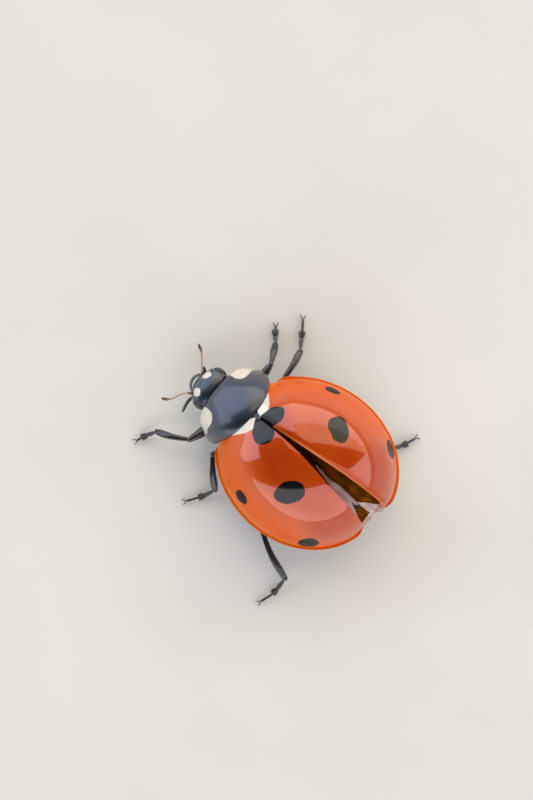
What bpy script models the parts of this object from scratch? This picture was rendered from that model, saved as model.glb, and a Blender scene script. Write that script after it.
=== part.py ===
"""A seven-spot ladybird standing on six feet, its wing cases slightly parted.

+Z is up, the head points towards -Y and the animal's left is +X. Shapes are drawn in millimetres
in the body's own frame, with the scutellum's tip over the origin and the ground at z = 0, and
turn into metres in one place, solid(). The whole is then moved so that the origin lies at the
centre of its footprint.
"""

import math

import bmesh
import bpy
from mathutils import Euler, Matrix, Vector

MM = 0.001
GAP = 0.04  # clearance between neighbouring solids
MERGE = 0.002  # points closer than this are one
SHARP_ANGLE = 50.0
UP = Vector((0.0, 0.0, 1.0))
QUARTER_TURN = 0.5 * math.pi

# Wing cases. Their common outline is an ellipse cut off at the front, their form a dome on it.
HALF_WIDTH = 2.6
HALF_LENGTH = 3.09
CASES_X, CENTRE_Y = 0.04, 2.17
SEAM_START = 0.05
TIP_ROUNDING, TIP_SPAN = 0.14, 0.42  # how far the tips fall short at the seam, and over what width
DOME = 2.72
DOME_POWER = 2.2
DOME_ROUND = 0.52
RIM_Z = 1.12
SHOULDER_LIFT = 0.14  # how far the rim climbs towards the shoulders
FRONT_START = (1.25, -0.24)  # where the front edge turns into the shoulder
SHOULDER = (1.72, -0.36)
SHOULDER_END_Y = 0.2
CASE_CROWDING = 1.2  # how much closer the rows of a case lie at its front than further back
CORNER_ROWS, SIDE_ROWS, CASE_COLUMNS = 3, 10, 8
SHELL = 0.5
HINGE = (0.3, -0.1)
PARTING = 5.1  # how far each case is swung out, in degrees
CASE_SLIDE = 0.07  # the left case sits this far forward, the right one this far back
LIFT_LEFT, LIFT_RIGHT = 0.3, 1.0  # how far a case's tip is raised, in degrees

# Pronotum, the shield behind the head.
PRONOTUM_X = 0.07
PRONOTUM_FRONT_HALF, PRONOTUM_HALF = 1.1, 1.48
PRONOTUM_FLARE = 112.0  # the turn of the sine that its sides follow, so that they draw in at the rear
PRONOTUM_FRONT_Y, PRONOTUM_REAR_Y = -1.68, -0.18
PRONOTUM_FRONT_SWEEP, PRONOTUM_REAR_SWEEP, REAR_SWEEP_POWER = 0.12, 0.16, 2.7
PRONOTUM_ARCH_POWER, PRONOTUM_ARCH_ROUND = 2.3, 0.55
PRONOTUM_FRONT_Z, PRONOTUM_REAR_Z, PRONOTUM_SIDE_Z = 2.12, 2.98, 1.32
PRONOTUM_THICK = 0.25
PRONOTUM_COLUMNS, PRONOTUM_ROWS = 18, 7

# Scutellum, the small triangle between the wing cases' front corners.
SCUTELLUM_HALF, SCUTELLUM_FRONT_Y, SCUTELLUM_TIP_Y, SCUTELLUM_FOOT_Z = 0.15, -0.14, -0.03, 2.3

# Head, turned and tipped about its own centre.
HEAD_CENTRE = (0.18, -1.8, 1.34)
HEAD_HALF = (0.72, 0.5, 0.56)
HEAD_POWER = 2.5
HEAD_YAW, HEAD_PITCH = 6.0, 24.0
EYE_CENTRE = (0.6, -0.02, 0.1)
EYE_HALF = (0.185, 0.27, 0.25)
LABRUM_CENTRE, LABRUM_HALF, LABRUM_POWER = (0.04, -0.54, -0.13), (0.33, 0.28, 0.13), 2.4

# Trunk sections as (y, half width, lowest, widest level, highest).
PROTHORAX = (
    (-1.2, 0.85, 1.0, 1.25, 1.7),
    (-0.8, 1.14, 0.9, 1.25, 1.98),
    (-0.46, 1.14, 0.9, 1.25, 2.05),
)
THORAX = (
    (-0.42, 0.96, 0.95, 1.25, 1.92),
    (0.0, 1.08, 0.9, 1.2, 2.06),
    (0.5, 1.45, 0.86, 1.15, 2.28),
    (1.1, 1.74, 0.84, 1.12, 2.38),
    (1.8, 1.88, 0.84, 1.1, 2.42),
)
ABDOMEN_START, ABDOMEN_END = 1.84, 4.66
ABDOMEN_HALF, ABDOMEN_LOW, ABDOMEN_HIGH = 1.9, 0.86, 2.42
ABDOMEN_LEVEL = 1.12
BACK_POWER, BELLY_POWER = 2.4, 1.9
ABDOMEN_TAPER, ABDOMEN_FALL, ABDOMEN_ROUND = 2.6, 2.4, 0.42  # towards its tip and over its back
ABDOMEN_ROWS, TRUNK_SIDES = 9, 20

# Folded hind wings, lying on the abdomen and showing between the parted cases.
WING_START, WING_END, WING_THICK = 0.75, 5.06, 0.5
WING_HALF, WING_TIP = 0.96, 0.25
WING_TAPER, WING_TAPER_ROUND = 2.2, 0.75
WING_THINNING = 0.25  # how much of its thickness a wing loses towards its outer edge
WING_OVER_RIM = 0.1
WING_ROWS, WING_COLUMNS = 9, 5

# Legs: coxa, knee, ankle and claw tip of each, in the body's frame.
LEGS = {
    "fore_left": ((0.45, -0.78, 0.62), (1.92, -1.3, 0.94), (2.36, -2.3, 0.42), (3.1, -2.72, 0.24)),
    "fore_right": ((-0.35, -0.72, 0.62), (-1.78, -0.8, 0.82), (-2.44, -1.1, 0.38), (-3.05, -1.55, 0.24)),
    "mid_left": ((0.62, 0.62, 0.6), (1.78, -0.42, 0.74), (2.66, 0.42, 0.38), (3.66, -0.16, 0.24)),
    "mid_right": ((-0.58, 0.66, 0.6), (-1.42, -0.12, 0.68), (-2.82, -0.3, 0.38), (-3.86, -1.0, 0.24)),
    "hind_left": ((0.84, 1.6, 0.58), (2.62, 2.3, 0.68), (3.48, 4.16, 0.36), (4.74, 3.96, 0.24)),
    "hind_right": ((-0.8, 1.6, 0.58), (-2.08, 2.35, 0.62), (-2.16, 4.18, 0.34), (-3.14, 4.64, 0.24)),
}
COXA_HALF = (0.27, 0.27, 0.36)
FEMUR_HALF, TIBIA_HALF, TARSUS_HALF = (0.27, 0.27), (0.25, 0.26), (0.26, 0.25)
LIMB_SIDES, LIMB_STEPS = 10, 4
FEMUR_SWELL, TIBIA_WIDENING, PAD_SWELL, CLUB_SWELL = 0.05, 0.03, 0.05, 0.03
KNEE_PLAY, ANKLE_PLAY = 0.02, 0.05  # how much wider a limb's socket is than the limb before it

# Feelers and palps, along their length.
ANTENNA_LEFT = ((0.56, -2.02, 1.44), (0.84, -2.36, 1.47), (1.22, -2.6, 1.5), (1.52, -2.94, 1.48))
ANTENNA_RIGHT = ((0.0, -2.06, 1.44), (-0.18, -2.48, 1.47), (-0.47, -2.76, 1.5), (-0.77, -3.14, 1.48))
PALP_LEFT = ((0.5, -1.84, 0.6), (0.86, -2.1, 0.58), (1.36, -2.08, 0.56))
PALP_RIGHT = ((0.0, -1.88, 0.6), (-0.14, -2.2, 0.58), (-0.32, -2.54, 0.56))
FEELER_HALF = 0.24

BLACK = ("black_cuticle", (0.012, 0.013, 0.017), 0.3)
RED = ("red_cuticle", (0.58, 0.075, 0.012), 0.22)
TAN = ("tan_cuticle", (0.5, 0.27, 0.1), 0.45)
MEMBRANE = ("wing_membrane", (0.24, 0.16, 0.11), 0.4)
EYE_BLACK = ("eye_lens", (0.006, 0.006, 0.008), 0.18)


def clear_scene():
    for obj in list(bpy.data.objects):
        bpy.data.objects.remove(obj, do_unlink=True)


def material(kind):
    """The Principled material of a kind, made once."""
    name, colour, roughness = kind
    found = bpy.data.materials.get(name)
    if found:
        return found
    made = bpy.data.materials.new(name)
    made.use_nodes = True
    shader = made.node_tree.nodes["Principled BSDF"]
    shader.inputs["Base Color"].default_value = (*colour, 1.0)
    shader.inputs["Roughness"].default_value = roughness
    shader.inputs["Metallic"].default_value = 0.0
    return made


def solid(name, points, faces, kind, parent, pivot=(0.0, 0.0, 0.0)):
    """An object from points in millimetres, with its origin at pivot."""
    shape = bmesh.new()
    made = [shape.verts.new((Vector(p) - Vector(pivot)) * MM) for p in points]
    for face in faces:
        shape.faces.new([made[i] for i in face])
    bmesh.ops.remove_doubles(shape, verts=shape.verts, dist=MERGE * MM)
    bmesh.ops.recalc_face_normals(shape, faces=shape.faces)
    mesh = bpy.data.meshes.new(name)
    shape.to_mesh(mesh)
    shape.free()
    mesh.shade_smooth()
    mesh.set_sharp_from_angle(angle=math.radians(SHARP_ANGLE))
    mesh.materials.append(material(kind))
    obj = bpy.data.objects.new(name, mesh)
    obj.location = Vector(pivot) * MM
    obj.parent = parent
    bpy.context.scene.collection.objects.link(obj)
    return obj


def cutter(obj):
    """Marks a solid as a tool that only shapes its neighbours."""
    obj.hide_render = True
    obj.display_type = "WIRE"
    return obj


def combine(obj, tool, operation):
    """Unites a solid with a tool, or cuts the tool out of it."""
    step = obj.modifiers.new(operation.lower(), "BOOLEAN")
    step.operation = operation
    step.solver = "EXACT"
    step.object = tool


def loft(rings):
    """Points and faces of a closed skin over rings of equal count. A ring of one point is a tip."""
    points, starts = [], []
    for ring in rings:
        starts.append(len(points))
        points.extend(ring)
    faces = []
    for k in range(len(rings) - 1):
        a, b = rings[k], rings[k + 1]
        count = max(len(a), len(b))
        for i in range(count):
            j = (i + 1) % count
            before = [starts[k] + i % len(a), starts[k] + j % len(a)]
            after = [starts[k + 1] + j % len(b), starts[k + 1] + i % len(b)]
            faces.append(list(dict.fromkeys(before + after)))
    for ring, start in ((rings[0], starts[0]), (rings[-1], starts[-1])):
        if len(ring) > 1:
            faces.append(range(start, start + len(ring)))
    return points, faces


def power(value, exponent):
    return math.copysign(abs(value) ** exponent, value)


def ellipsoid_rings(half, exponent, sides, levels):
    """Rings of a ball drawn out to half sizes, squarer as its exponent rises over 2."""
    rings = [[Vector((0.0, 0.0, -half[2]))]]
    for k in range(1, levels):
        tilt = math.pi * (k / levels - 0.5)
        flat, high = power(math.cos(tilt), 2 / exponent), power(math.sin(tilt), 2 / exponent)
        ring = []
        for i in range(sides):
            turn = 2 * math.pi * i / sides
            x, y = power(math.cos(turn), 2 / exponent), power(math.sin(turn), 2 / exponent)
            ring.append(Vector((half[0] * flat * x, half[1] * flat * y, half[2] * high)))
        rings.append(ring)
    rings.append([Vector((0.0, 0.0, half[2]))])
    return rings


def smooth_path(stops, count):
    """Evenly stepped points on a smooth curve through the stops."""
    stops = [Vector(s) for s in stops]
    padded = [2 * stops[0] - stops[1], *stops, 2 * stops[-1] - stops[-2]]
    path = []
    for k in range(count + 1):
        along = min(k / count * (len(stops) - 1), len(stops) - 1 - 1e-9)
        i, t = int(along), along - int(along)
        p0, p1, p2, p3 = padded[i : i + 4]
        curve = 2 * p1 + (p2 - p0) * t + (2 * p0 - 5 * p1 + 4 * p2 - p3) * t**2
        path.append((curve + (3 * p1 - p0 - 3 * p2 + p3) * t**3) / 2)
    return path


def limb(name, stops, half_at, kind, parent, floor=None):
    """A round-ended limb through stops. half_at(t) gives its half width and half height."""
    steps = LIMB_STEPS
    path = smooth_path(stops, steps)
    length = sum((b - a).length for a, b in zip(path, path[1:]))
    rings = []
    end_share = max(half_at(0.5)) / length
    fractions = [0.0, end_share * 0.12, end_share * 0.5]
    fractions += [end_share + (1 - 2 * end_share) * k / (steps - 1) for k in range(steps)]
    fractions += [1 - end_share * 0.5, 1 - end_share * 0.12, 1.0]
    for t in fractions:
        place = min(t * steps, steps - 1e-6)
        i = int(place)
        centre = path[i].lerp(path[i + 1], place - i)
        along = (path[i + 1] - path[i]).normalized()
        side = along.cross(UP).normalized()
        over = side.cross(along)
        nearest = min(t, 1 - t) / end_share
        bulge = math.sqrt(max(0.0, 1 - (1 - min(nearest, 1.0)) ** 2))
        wide, high = half_at(t)
        if bulge < 1e-3:
            rings.append([centre])
            continue
        ring = []
        for k in range(LIMB_SIDES):
            turn = 2 * math.pi * (k + 0.5) / LIMB_SIDES
            across, rise = wide * bulge * math.cos(turn), high * bulge * math.sin(turn)
            ring.append(centre + side * across + over * rise)
        rings.append(ring)
    if floor is not None:
        for ring in rings:
            for point in ring:
                point.z = max(point.z, floor)
    return solid(name, *loft(rings), kind, parent)


def rim_z(y):
    ahead = max(0.0, (CENTRE_Y - y) / HALF_LENGTH)
    return RIM_Z + SHOULDER_LIFT * ahead**2


def dome_z(x, y):
    """Height of the closed wing cases over a plan point."""
    reach = math.hypot(x / HALF_WIDTH, (y - CENTRE_Y) / HALF_LENGTH)
    return rim_z(y) + DOME * (1 - min(reach, 1.0) ** DOME_POWER) ** DOME_ROUND


def case_outline(corner_rows, side_rows):
    """Plan points down a closed wing case's outer edge, from the front edge to the tip."""
    turn = math.acos((CENTRE_Y - SHOULDER_END_Y) / HALF_LENGTH)
    end = (HALF_WIDTH * math.sin(turn), SHOULDER_END_Y)
    outline = []
    for k in range(corner_rows):
        t = k / corner_rows
        weights = ((1 - t) ** 2, 2 * t * (1 - t), t * t)
        corner = (FRONT_START, SHOULDER, end)
        outline.append(tuple(sum(w * p[axis] for w, p in zip(weights, corner)) for axis in (0, 1)))
    for k in range(side_rows + 1):
        angle = turn + (math.pi - turn) * k / side_rows
        x = HALF_WIDTH * math.sin(angle)
        short = TIP_ROUNDING * max(0.0, 1 - x / TIP_SPAN) ** 2 if angle > QUARTER_TURN else 0.0
        outline.append((x, CENTRE_Y - HALF_LENGTH * math.cos(angle) - short))
    return outline


def elytron(name, side, lift, parent):
    """One wing case, side 1 for left and -1 for right, hinged at its inner front corner."""
    columns = CASE_COLUMNS
    outline = case_outline(CORNER_ROWS, SIDE_ROWS)
    tip_y = outline[-1][1]
    points, faces = [], []
    for k, (edge_x, edge_y) in enumerate(outline):
        down = math.sin(QUARTER_TURN * k / (len(outline) - 1)) ** CASE_CROWDING
        seam_y = SEAM_START + (tip_y - SEAM_START) * down
        for i in range(columns + 1):
            across = math.sin(QUARTER_TURN * i / columns)
            x, y = across * edge_x, seam_y + (edge_y - seam_y) * across
            points.append((side * x, y, dome_z(x, y)))
    width = columns + 1
    for k in range(len(outline) - 1):
        for i in range(columns):
            a = k * width + i
            corners = [a, a + 1, a + width + 1, a + width]
            if k == len(outline) - 2:
                corners = [a, a + 1, (k + 1) * width]
            faces.append(corners if side < 0 else corners[::-1])
    pivot = (side * HINGE[0], HINGE[1], dome_z(*HINGE))
    case = solid(name, points, faces, RED, parent, pivot)
    face_up(case)
    case.location += Vector((CASES_X, -side * CASE_SLIDE, 0.0)) * MM
    case.rotation_euler = Euler((math.radians(lift), 0.0, -side * math.radians(PARTING)))
    shell = case.modifiers.new("thickness", "SOLIDIFY")
    shell.thickness = SHELL * MM
    shell.offset = -1.0
    return case


def face_up(obj):
    """Turns an open skin's faces so that they look up."""
    shape = bmesh.new()
    shape.from_mesh(obj.data)
    if sum(f.normal.z * f.calc_area() for f in shape.faces) < 0:
        bmesh.ops.reverse_faces(shape, faces=shape.faces)
    shape.to_mesh(obj.data)
    shape.free()


def section(y, half, low, level, high, x=0.0):
    """A closed ring across the trunk: fullest at level, arched above it and shallow below."""
    ring = []
    for i in range(TRUNK_SIDES):
        turn = 2 * math.pi * i / TRUNK_SIDES
        fullness = BACK_POWER if math.sin(turn) > 0 else BELLY_POWER
        across = power(math.cos(turn), 2 / fullness)
        rise = power(math.sin(turn), 2 / fullness)
        reach = high - level if rise > 0 else level - low
        ring.append(Vector((x + half * across, y, level + rise * reach)))
    return ring


def abdomen_high(y):
    along = (y - ABDOMEN_START) / (ABDOMEN_END - ABDOMEN_START)
    return ABDOMEN_LEVEL + (ABDOMEN_HIGH - ABDOMEN_LEVEL) * (1 - max(along, 0.0) ** ABDOMEN_FALL) ** 0.5


def abdomen_top(x, y):
    """Height of the trunk's back over a plan point, which the folded wings lie on."""
    arch = (1 - min(abs(x) / ABDOMEN_HALF, 1.0) ** BACK_POWER) ** ABDOMEN_ROUND
    return ABDOMEN_LEVEL + (abdomen_high(min(y, ABDOMEN_END)) - ABDOMEN_LEVEL) * arch


def build_abdomen(parent):
    rings = []
    for k in range(ABDOMEN_ROWS):
        along = math.sin(QUARTER_TURN * k / ABDOMEN_ROWS)
        y = ABDOMEN_START + (ABDOMEN_END - ABDOMEN_START) * along
        slim = (1 - along**ABDOMEN_TAPER) ** 0.5
        low = ABDOMEN_LOW + (ABDOMEN_LEVEL - ABDOMEN_LOW) * along**3
        rings.append(section(y, ABDOMEN_HALF * slim, low, ABDOMEN_LEVEL, abdomen_high(y)))
    rings.append([Vector((0.0, ABDOMEN_END, ABDOMEN_LEVEL))])
    return solid("abdomen", *loft(rings), BLACK, parent)


def coxae(names, parent):
    """Hip balls where the named legs leave the trunk."""
    made = []
    for name in names:
        centre = Vector(LEGS[name][0])
        rings = ellipsoid_rings(COXA_HALF, 2.0, 12, 6)
        rings = [[p + centre for p in ring] for ring in rings]
        made.append(cutter(solid(f"coxa_{name}", *loft(rings), BLACK, parent)))
    return made


def trunk(name, sections, hips, x, parent):
    """A lofted trunk piece with the hips of its legs united to it."""
    rings = [section(*numbers, x=x) for numbers in sections]
    body = solid(name, *loft(rings), BLACK, parent)
    for hip in hips:
        combine(body, hip, "UNION")
    return body


def pronotum_point(u, v):
    """A point of the shield: u from -1 to 1 across it, v from its front edge to its rear."""
    widening = math.sin(math.radians(PRONOTUM_FLARE) * v)
    x = u * (PRONOTUM_FRONT_HALF + (PRONOTUM_HALF - PRONOTUM_FRONT_HALF) * widening)
    front = PRONOTUM_FRONT_Y + PRONOTUM_FRONT_SWEEP * x * x
    rear = PRONOTUM_REAR_Y - PRONOTUM_REAR_SWEEP * abs(x) ** REAR_SWEEP_POWER
    y = front + (rear - front) * v
    middle = PRONOTUM_FRONT_Z + (PRONOTUM_REAR_Z - PRONOTUM_FRONT_Z) * math.sin(QUARTER_TURN * v)
    arch = (1 - abs(u) ** PRONOTUM_ARCH_POWER) ** PRONOTUM_ARCH_ROUND
    z = PRONOTUM_SIDE_Z + (middle - PRONOTUM_SIDE_Z) * arch
    return Vector((PRONOTUM_X + x, y, z))


def build_pronotum(parent):
    """The shield, as a skin that Solidify thickens downwards."""
    across, along = PRONOTUM_COLUMNS, PRONOTUM_ROWS
    points = []
    for k in range(along + 1):
        for i in range(across + 1):
            points.append(pronotum_point(math.sin(QUARTER_TURN * (2 * i / across - 1)), k / along))
    faces = []
    for k in range(along):
        for i in range(across):
            a = k * (across + 1) + i
            faces.append([a, a + 1, a + across + 2, a + across + 1])
    shield = solid("pronotum", points, faces, BLACK, parent)
    face_up(shield)
    shell = shield.modifiers.new("thickness", "SOLIDIFY")
    shell.thickness = PRONOTUM_THICK * MM
    shell.offset = -1.0
    return shield


def build_scutellum(parent):
    """The small triangle between the wing cases' front corners."""
    half = SCUTELLUM_HALF
    outline = ((-half, SCUTELLUM_FRONT_Y), (half, SCUTELLUM_FRONT_Y), (0.0, SCUTELLUM_TIP_Y))
    top = [Vector((CASES_X + x, y, dome_z(x, y))) for x, y in outline]
    base = [Vector((CASES_X + x, y, SCUTELLUM_FOOT_Z)) for x, y in outline]
    return solid("scutellum", *loft([base, top]), BLACK, parent)


def hindwing(name, side, parent):
    """One folded hind wing, a thick leaf that narrows to a tongue between the cases' tips."""
    rows, columns = WING_ROWS, WING_COLUMNS
    under, over = [], []
    for k in range(rows + 1):
        along = math.sin(QUARTER_TURN * k / rows)
        y = WING_START + (WING_END - WING_START) * along
        width = WING_TIP + (WING_HALF - WING_TIP) * (1 - along**WING_TAPER) ** WING_TAPER_ROUND
        low, high = [], []
        for i in range(columns + 1):
            x = 0.5 * GAP + width * i / columns
            z = max(abdomen_top(x, y) + GAP, RIM_Z + WING_OVER_RIM)
            low.append((side * x, y, z))
            high.append((side * x, y, z + WING_THICK * (1 - WING_THINNING * (i / columns) ** 2)))
        under.append(low)
        over.append(high)
    rings = [low + high[::-1] for low, high in zip(under, over)]
    return solid(name, *loft(rings), MEMBRANE, parent)


def head_matrix():
    turn = Euler((math.radians(HEAD_PITCH), 0.0, math.radians(HEAD_YAW)))
    return Matrix.Translation(HEAD_CENTRE) @ turn.to_matrix().to_4x4()


def head_ball(name, half, centre, exponent, sides, levels, kind, parent, grow=0.0):
    """A ball placed in the head's own frame, grown by a clearance where it is a tool."""
    half = tuple(h + grow for h in half)
    rings = ellipsoid_rings(half, exponent, sides, levels)
    frame = head_matrix() @ Matrix.Translation(centre)
    return solid(name, *loft([[frame @ p for p in ring] for ring in rings]), kind, parent)


def build_head(parent):
    """The head with its eyes in sockets, the lip, feelers and palps."""
    skull = head_ball("head", HEAD_HALF, (0, 0, 0), HEAD_POWER, 24, 12, BLACK, parent)
    around = cutter(head_ball("head_clearance", HEAD_HALF, (0, 0, 0), HEAD_POWER, 24, 12, BLACK, parent, GAP))
    for name, side in (("left", 1), ("right", -1)):
        centre = (side * EYE_CENTRE[0], EYE_CENTRE[1], EYE_CENTRE[2])
        head_ball(f"eye_{name}", EYE_HALF, centre, 2.0, 12, 8, EYE_BLACK, parent)
        socket = cutter(head_ball(f"socket_{name}", EYE_HALF, centre, 2.0, 12, 8, EYE_BLACK, parent, GAP))
        combine(skull, socket, "DIFFERENCE")
    lip = head_ball("labrum", LABRUM_HALF, LABRUM_CENTRE, LABRUM_POWER, 16, 6, BLACK, parent)
    combine(lip, around, "DIFFERENCE")
    feelers = (
        ("antenna_left", ANTENNA_LEFT, TAN),
        ("antenna_right", ANTENNA_RIGHT, TAN),
        ("palp_left", PALP_LEFT, BLACK),
        ("palp_right", PALP_RIGHT, BLACK),
    )
    for name, stops, kind in feelers:
        feeler = limb(name, stops, feeler_half, kind, parent)
        combine(feeler, around, "DIFFERENCE")


def feeler_half(t):
    """Half sizes of a feeler, clubbed at its end."""
    swell = CLUB_SWELL * math.exp(-(((t - 0.85) / 0.15) ** 2))
    return FEELER_HALF + swell, FEELER_HALF + swell


def femur_half(t):
    thick = FEMUR_SWELL * math.sin(math.pi * min(max(t, 0.0), 1.0))
    return FEMUR_HALF[0] + thick, FEMUR_HALF[1]


def tibia_half(t):
    return TIBIA_HALF[0] + TIBIA_WIDENING * t, TIBIA_HALF[1]


def tarsus_half(t):
    """Half sizes of a foot: a lobed pad before a narrower claw joint."""
    pad = PAD_SWELL * math.exp(-(((t - 0.5) / 0.18) ** 2))
    return TARSUS_HALF[0] + pad, TARSUS_HALF[1]


def clearance(name, centre, half, parent):
    """A ball-shaped tool that hollows the start of a limb, with half sizes half."""
    rings = ellipsoid_rings([h + GAP for h in half], 2.0, 12, 6)
    rings = [[p + Vector(centre) for p in ring] for ring in rings]
    return cutter(solid(name, *loft(rings), BLACK, parent))


def leg(name, parent):
    """Femur, tibia and tarsus. Each is hollowed where the rounded end before it sits."""
    hip, knee, ankle, tip = (Vector(p) for p in LEGS[name])
    femur = limb(f"{name}_femur", (hip, hip.lerp(knee, 0.5), knee), femur_half, BLACK, parent)
    combine(femur, clearance(f"{name}_hip_clearance", hip, COXA_HALF, parent), "DIFFERENCE")
    shin = limb(f"{name}_tibia", (knee, knee.lerp(ankle, 0.5), ankle), tibia_half, BLACK, parent)
    inner = knee + (hip - knee).normalized() * FEMUR_HALF[1]
    knob = (FEMUR_HALF[0] + KNEE_PLAY,) * 3
    combine(shin, clearance(f"{name}_knee_clearance", inner, knob, parent), "DIFFERENCE")
    middle = ankle.lerp(tip, 0.5)
    middle.z = tip.z
    foot = limb(f"{name}_tarsus", (ankle, middle, tip), tarsus_half, BLACK, parent, floor=0.0)
    inner = ankle + (knee - ankle).normalized() * TIBIA_HALF[1]
    knob = (TIBIA_HALF[0] + ANKLE_PLAY,) * 3
    combine(foot, clearance(f"{name}_ankle_clearance", inner, knob, parent), "DIFFERENCE")


def centre_on_footprint(root):
    """Moves everything so that the origin lies under the middle of the model's box."""
    bpy.context.view_layer.update()
    graph = bpy.context.evaluated_depsgraph_get()
    low, high = Vector((1.0, 1.0, 1.0)), Vector((-1.0, -1.0, -1.0))
    for obj in root.children:
        if obj.hide_render:
            continue
        evaluated = obj.evaluated_get(graph)
        for vertex in evaluated.data.vertices:
            place = evaluated.matrix_world @ vertex.co
            low = Vector(map(min, low, place))
            high = Vector(map(max, high, place))
    root.location = (-(low.x + high.x) / 2, -(low.y + high.y) / 2, -low.z)


def main():
    clear_scene()
    root = bpy.data.objects.new("ladybird", None)
    bpy.context.scene.collection.objects.link(root)
    build_head(root)
    build_pronotum(root)
    fore, rest = ("fore_left", "fore_right"), ("mid_left", "mid_right", "hind_left", "hind_right")
    trunk("prothorax", PROTHORAX, coxae(fore, root), PRONOTUM_X, root)
    trunk("thorax", THORAX, coxae(rest, root), 0.0, root)
    build_abdomen(root)
    build_scutellum(root)
    for name, side, lift in (("left", 1, LIFT_LEFT), ("right", -1, LIFT_RIGHT)):
        elytron(f"elytron_{name}", side, lift, root)
        hindwing(f"hindwing_{name}", side, root)
    for name in LEGS:
        leg(name, root)
    centre_on_footprint(root)


main()
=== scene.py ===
"""The looks of the seven-spot ladybird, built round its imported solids.

Shapes are drawn in millimetres in the body's own frame, as in the part's source: the tip of the
scutellum lies over the origin, +Z is up, the head points towards -Y and the animal's left is +X.
place() turns them into metres in the frame's own axes.
"""

import random
from math import acos, copysign, cos, dist, exp, hypot, pi, radians, sin, sqrt

import bmesh
import bpy
import numpy as np
from mathutils import Euler, Matrix, Vector


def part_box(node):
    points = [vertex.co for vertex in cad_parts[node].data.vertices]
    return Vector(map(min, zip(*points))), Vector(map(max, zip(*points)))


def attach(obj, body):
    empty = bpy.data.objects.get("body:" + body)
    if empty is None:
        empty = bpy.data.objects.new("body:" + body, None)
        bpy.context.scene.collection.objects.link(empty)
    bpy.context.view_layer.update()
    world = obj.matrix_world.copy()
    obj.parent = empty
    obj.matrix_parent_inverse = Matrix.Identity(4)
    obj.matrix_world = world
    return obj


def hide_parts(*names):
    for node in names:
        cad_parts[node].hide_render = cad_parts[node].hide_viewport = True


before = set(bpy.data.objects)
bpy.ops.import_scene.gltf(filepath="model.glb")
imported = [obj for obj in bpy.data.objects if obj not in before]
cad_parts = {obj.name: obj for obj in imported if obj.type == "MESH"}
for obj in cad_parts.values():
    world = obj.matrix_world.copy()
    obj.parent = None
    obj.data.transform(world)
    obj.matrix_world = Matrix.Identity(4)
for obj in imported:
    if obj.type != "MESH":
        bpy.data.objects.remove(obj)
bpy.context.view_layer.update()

MM = 0.001
UP = Vector((0.0, 0.0, 1.0))
SIDES = (("left", 1), ("right", -1))
QUARTER_TURN, FULL_TURN = 0.5 * pi, 2 * pi
FAR = 9.0  # the mark of a point that lies far outside every marking

# The body's frame, found from the scutellum's solid, whose tip lies 0.03 mm before the origin.
CASES_X = 0.04
SCUTELLUM_TIP_Y = -0.03
low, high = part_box("scutellum")
ORIGIN = Vector(((low.x + high.x) / 2 - CASES_X * MM, high.y - SCUTELLUM_TIP_Y * MM, 0.0))

# Wing cases, as in the solids: an ellipse cut off at the front, with a dome on it.
HALF_WIDTH, HALF_LENGTH, CENTRE_Y = 2.6, 3.09, 2.17
SEAM_START = 0.05
TIP_ROUNDING, TIP_SPAN, TIP_START_Y = 0.14, 0.42, 3.9
DOME, DOME_POWER, DOME_ROUND = 2.72, 2.2, 0.52
RIM_Z, SHOULDER_LIFT = 1.12, 0.14
FRONT_START, SHOULDER, SHOULDER_END_Y = (1.25, -0.24), (1.72, -0.36), 0.2
SHOULDER_SHARE = 0.22  # the part of the outer edge's run that goes round the shoulder
HINGE = (0.3, -0.1)
PARTING, CASE_SLIDE = 5.1, 0.07
LIFTS = {"left": 0.3, "right": 1.0}
# What only the visible shell has.
FLANGE = 0.028  # the flat margin's share of the dome's reach
FLANGE_CURL = 0.035  # how far the margin's edge turns up
SHELL, SEAM_THICKER = 0.12, 0.1  # its thickness, and how much more it has along the seam
SHOULDER_BUMP, BUMP_RISE, BUMP_WIDTH = (1.42, 0.3), 0.05, 0.3
SEAM_ROLL = {"left": (0.045, 0.01), "right": (0.17, 0.1)}  # the inner edge's roll: width and drop
SEAM_TINT = {"left": 0.45, "right": 0.08}  # the edge mark at the seam: below 0.2 the colour lightens, painted light through the thin edge
SEAM_BULGE, SEAM_BULGE_END = {"left": 0.075, "right": 0.02}, 3.2
# How far the front edge reaches forward of the solid's, out on the case and at the seam, and over
# how many rows that fades.
FRONT_REACH, FRONT_ROWS = {"left": (0.12, 0.02), "right": (0.24, 0.1)}, 7.0
REAR_GLOSS = (3.4, 4.7)  # over this stretch of y the thick lacquer spreads out towards the tip
CASE_ROWS, WALL_COLUMNS, FLANGE_COLUMNS = 120, 60, 9
LAST_SHARE = 0.985  # where the last row crosses, so that the tip is a narrow blunt end
TIP_ROWS = 5
# The folded-under rim: its width in front and least width, the width from which it is fully deep,
# and its stops as (inwards, share of its width inwards, down).
RIM_WIDE, RIM_LEAST, RIM_DEEP_FROM = 0.44, 0.06, 0.25
RIM_STOPS = (
    (-0.012, 0.0, 0.03), (0.0, 0.0, 0.07), (0.0, 0.35, 0.087), (0.0, 0.7, 0.094),
    (0.0, 1.0, 0.1), (0.0, 1.0, 0.05), (0.0, 0.6, 0.042),
)

# Pronotum, as in the solids.
PRONOTUM_X = 0.07
PRONOTUM_FRONT_HALF, PRONOTUM_HALF = 1.1, 1.48
PRONOTUM_FRONT_Y, PRONOTUM_REAR_Y = -1.68, -0.18
PRONOTUM_FRONT_SWEEP, PRONOTUM_REAR_SWEEP = 0.12, 0.16
PRONOTUM_FRONT_Z, PRONOTUM_REAR_Z, PRONOTUM_SIDE_Z = 2.12, 2.98, 1.32

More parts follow.
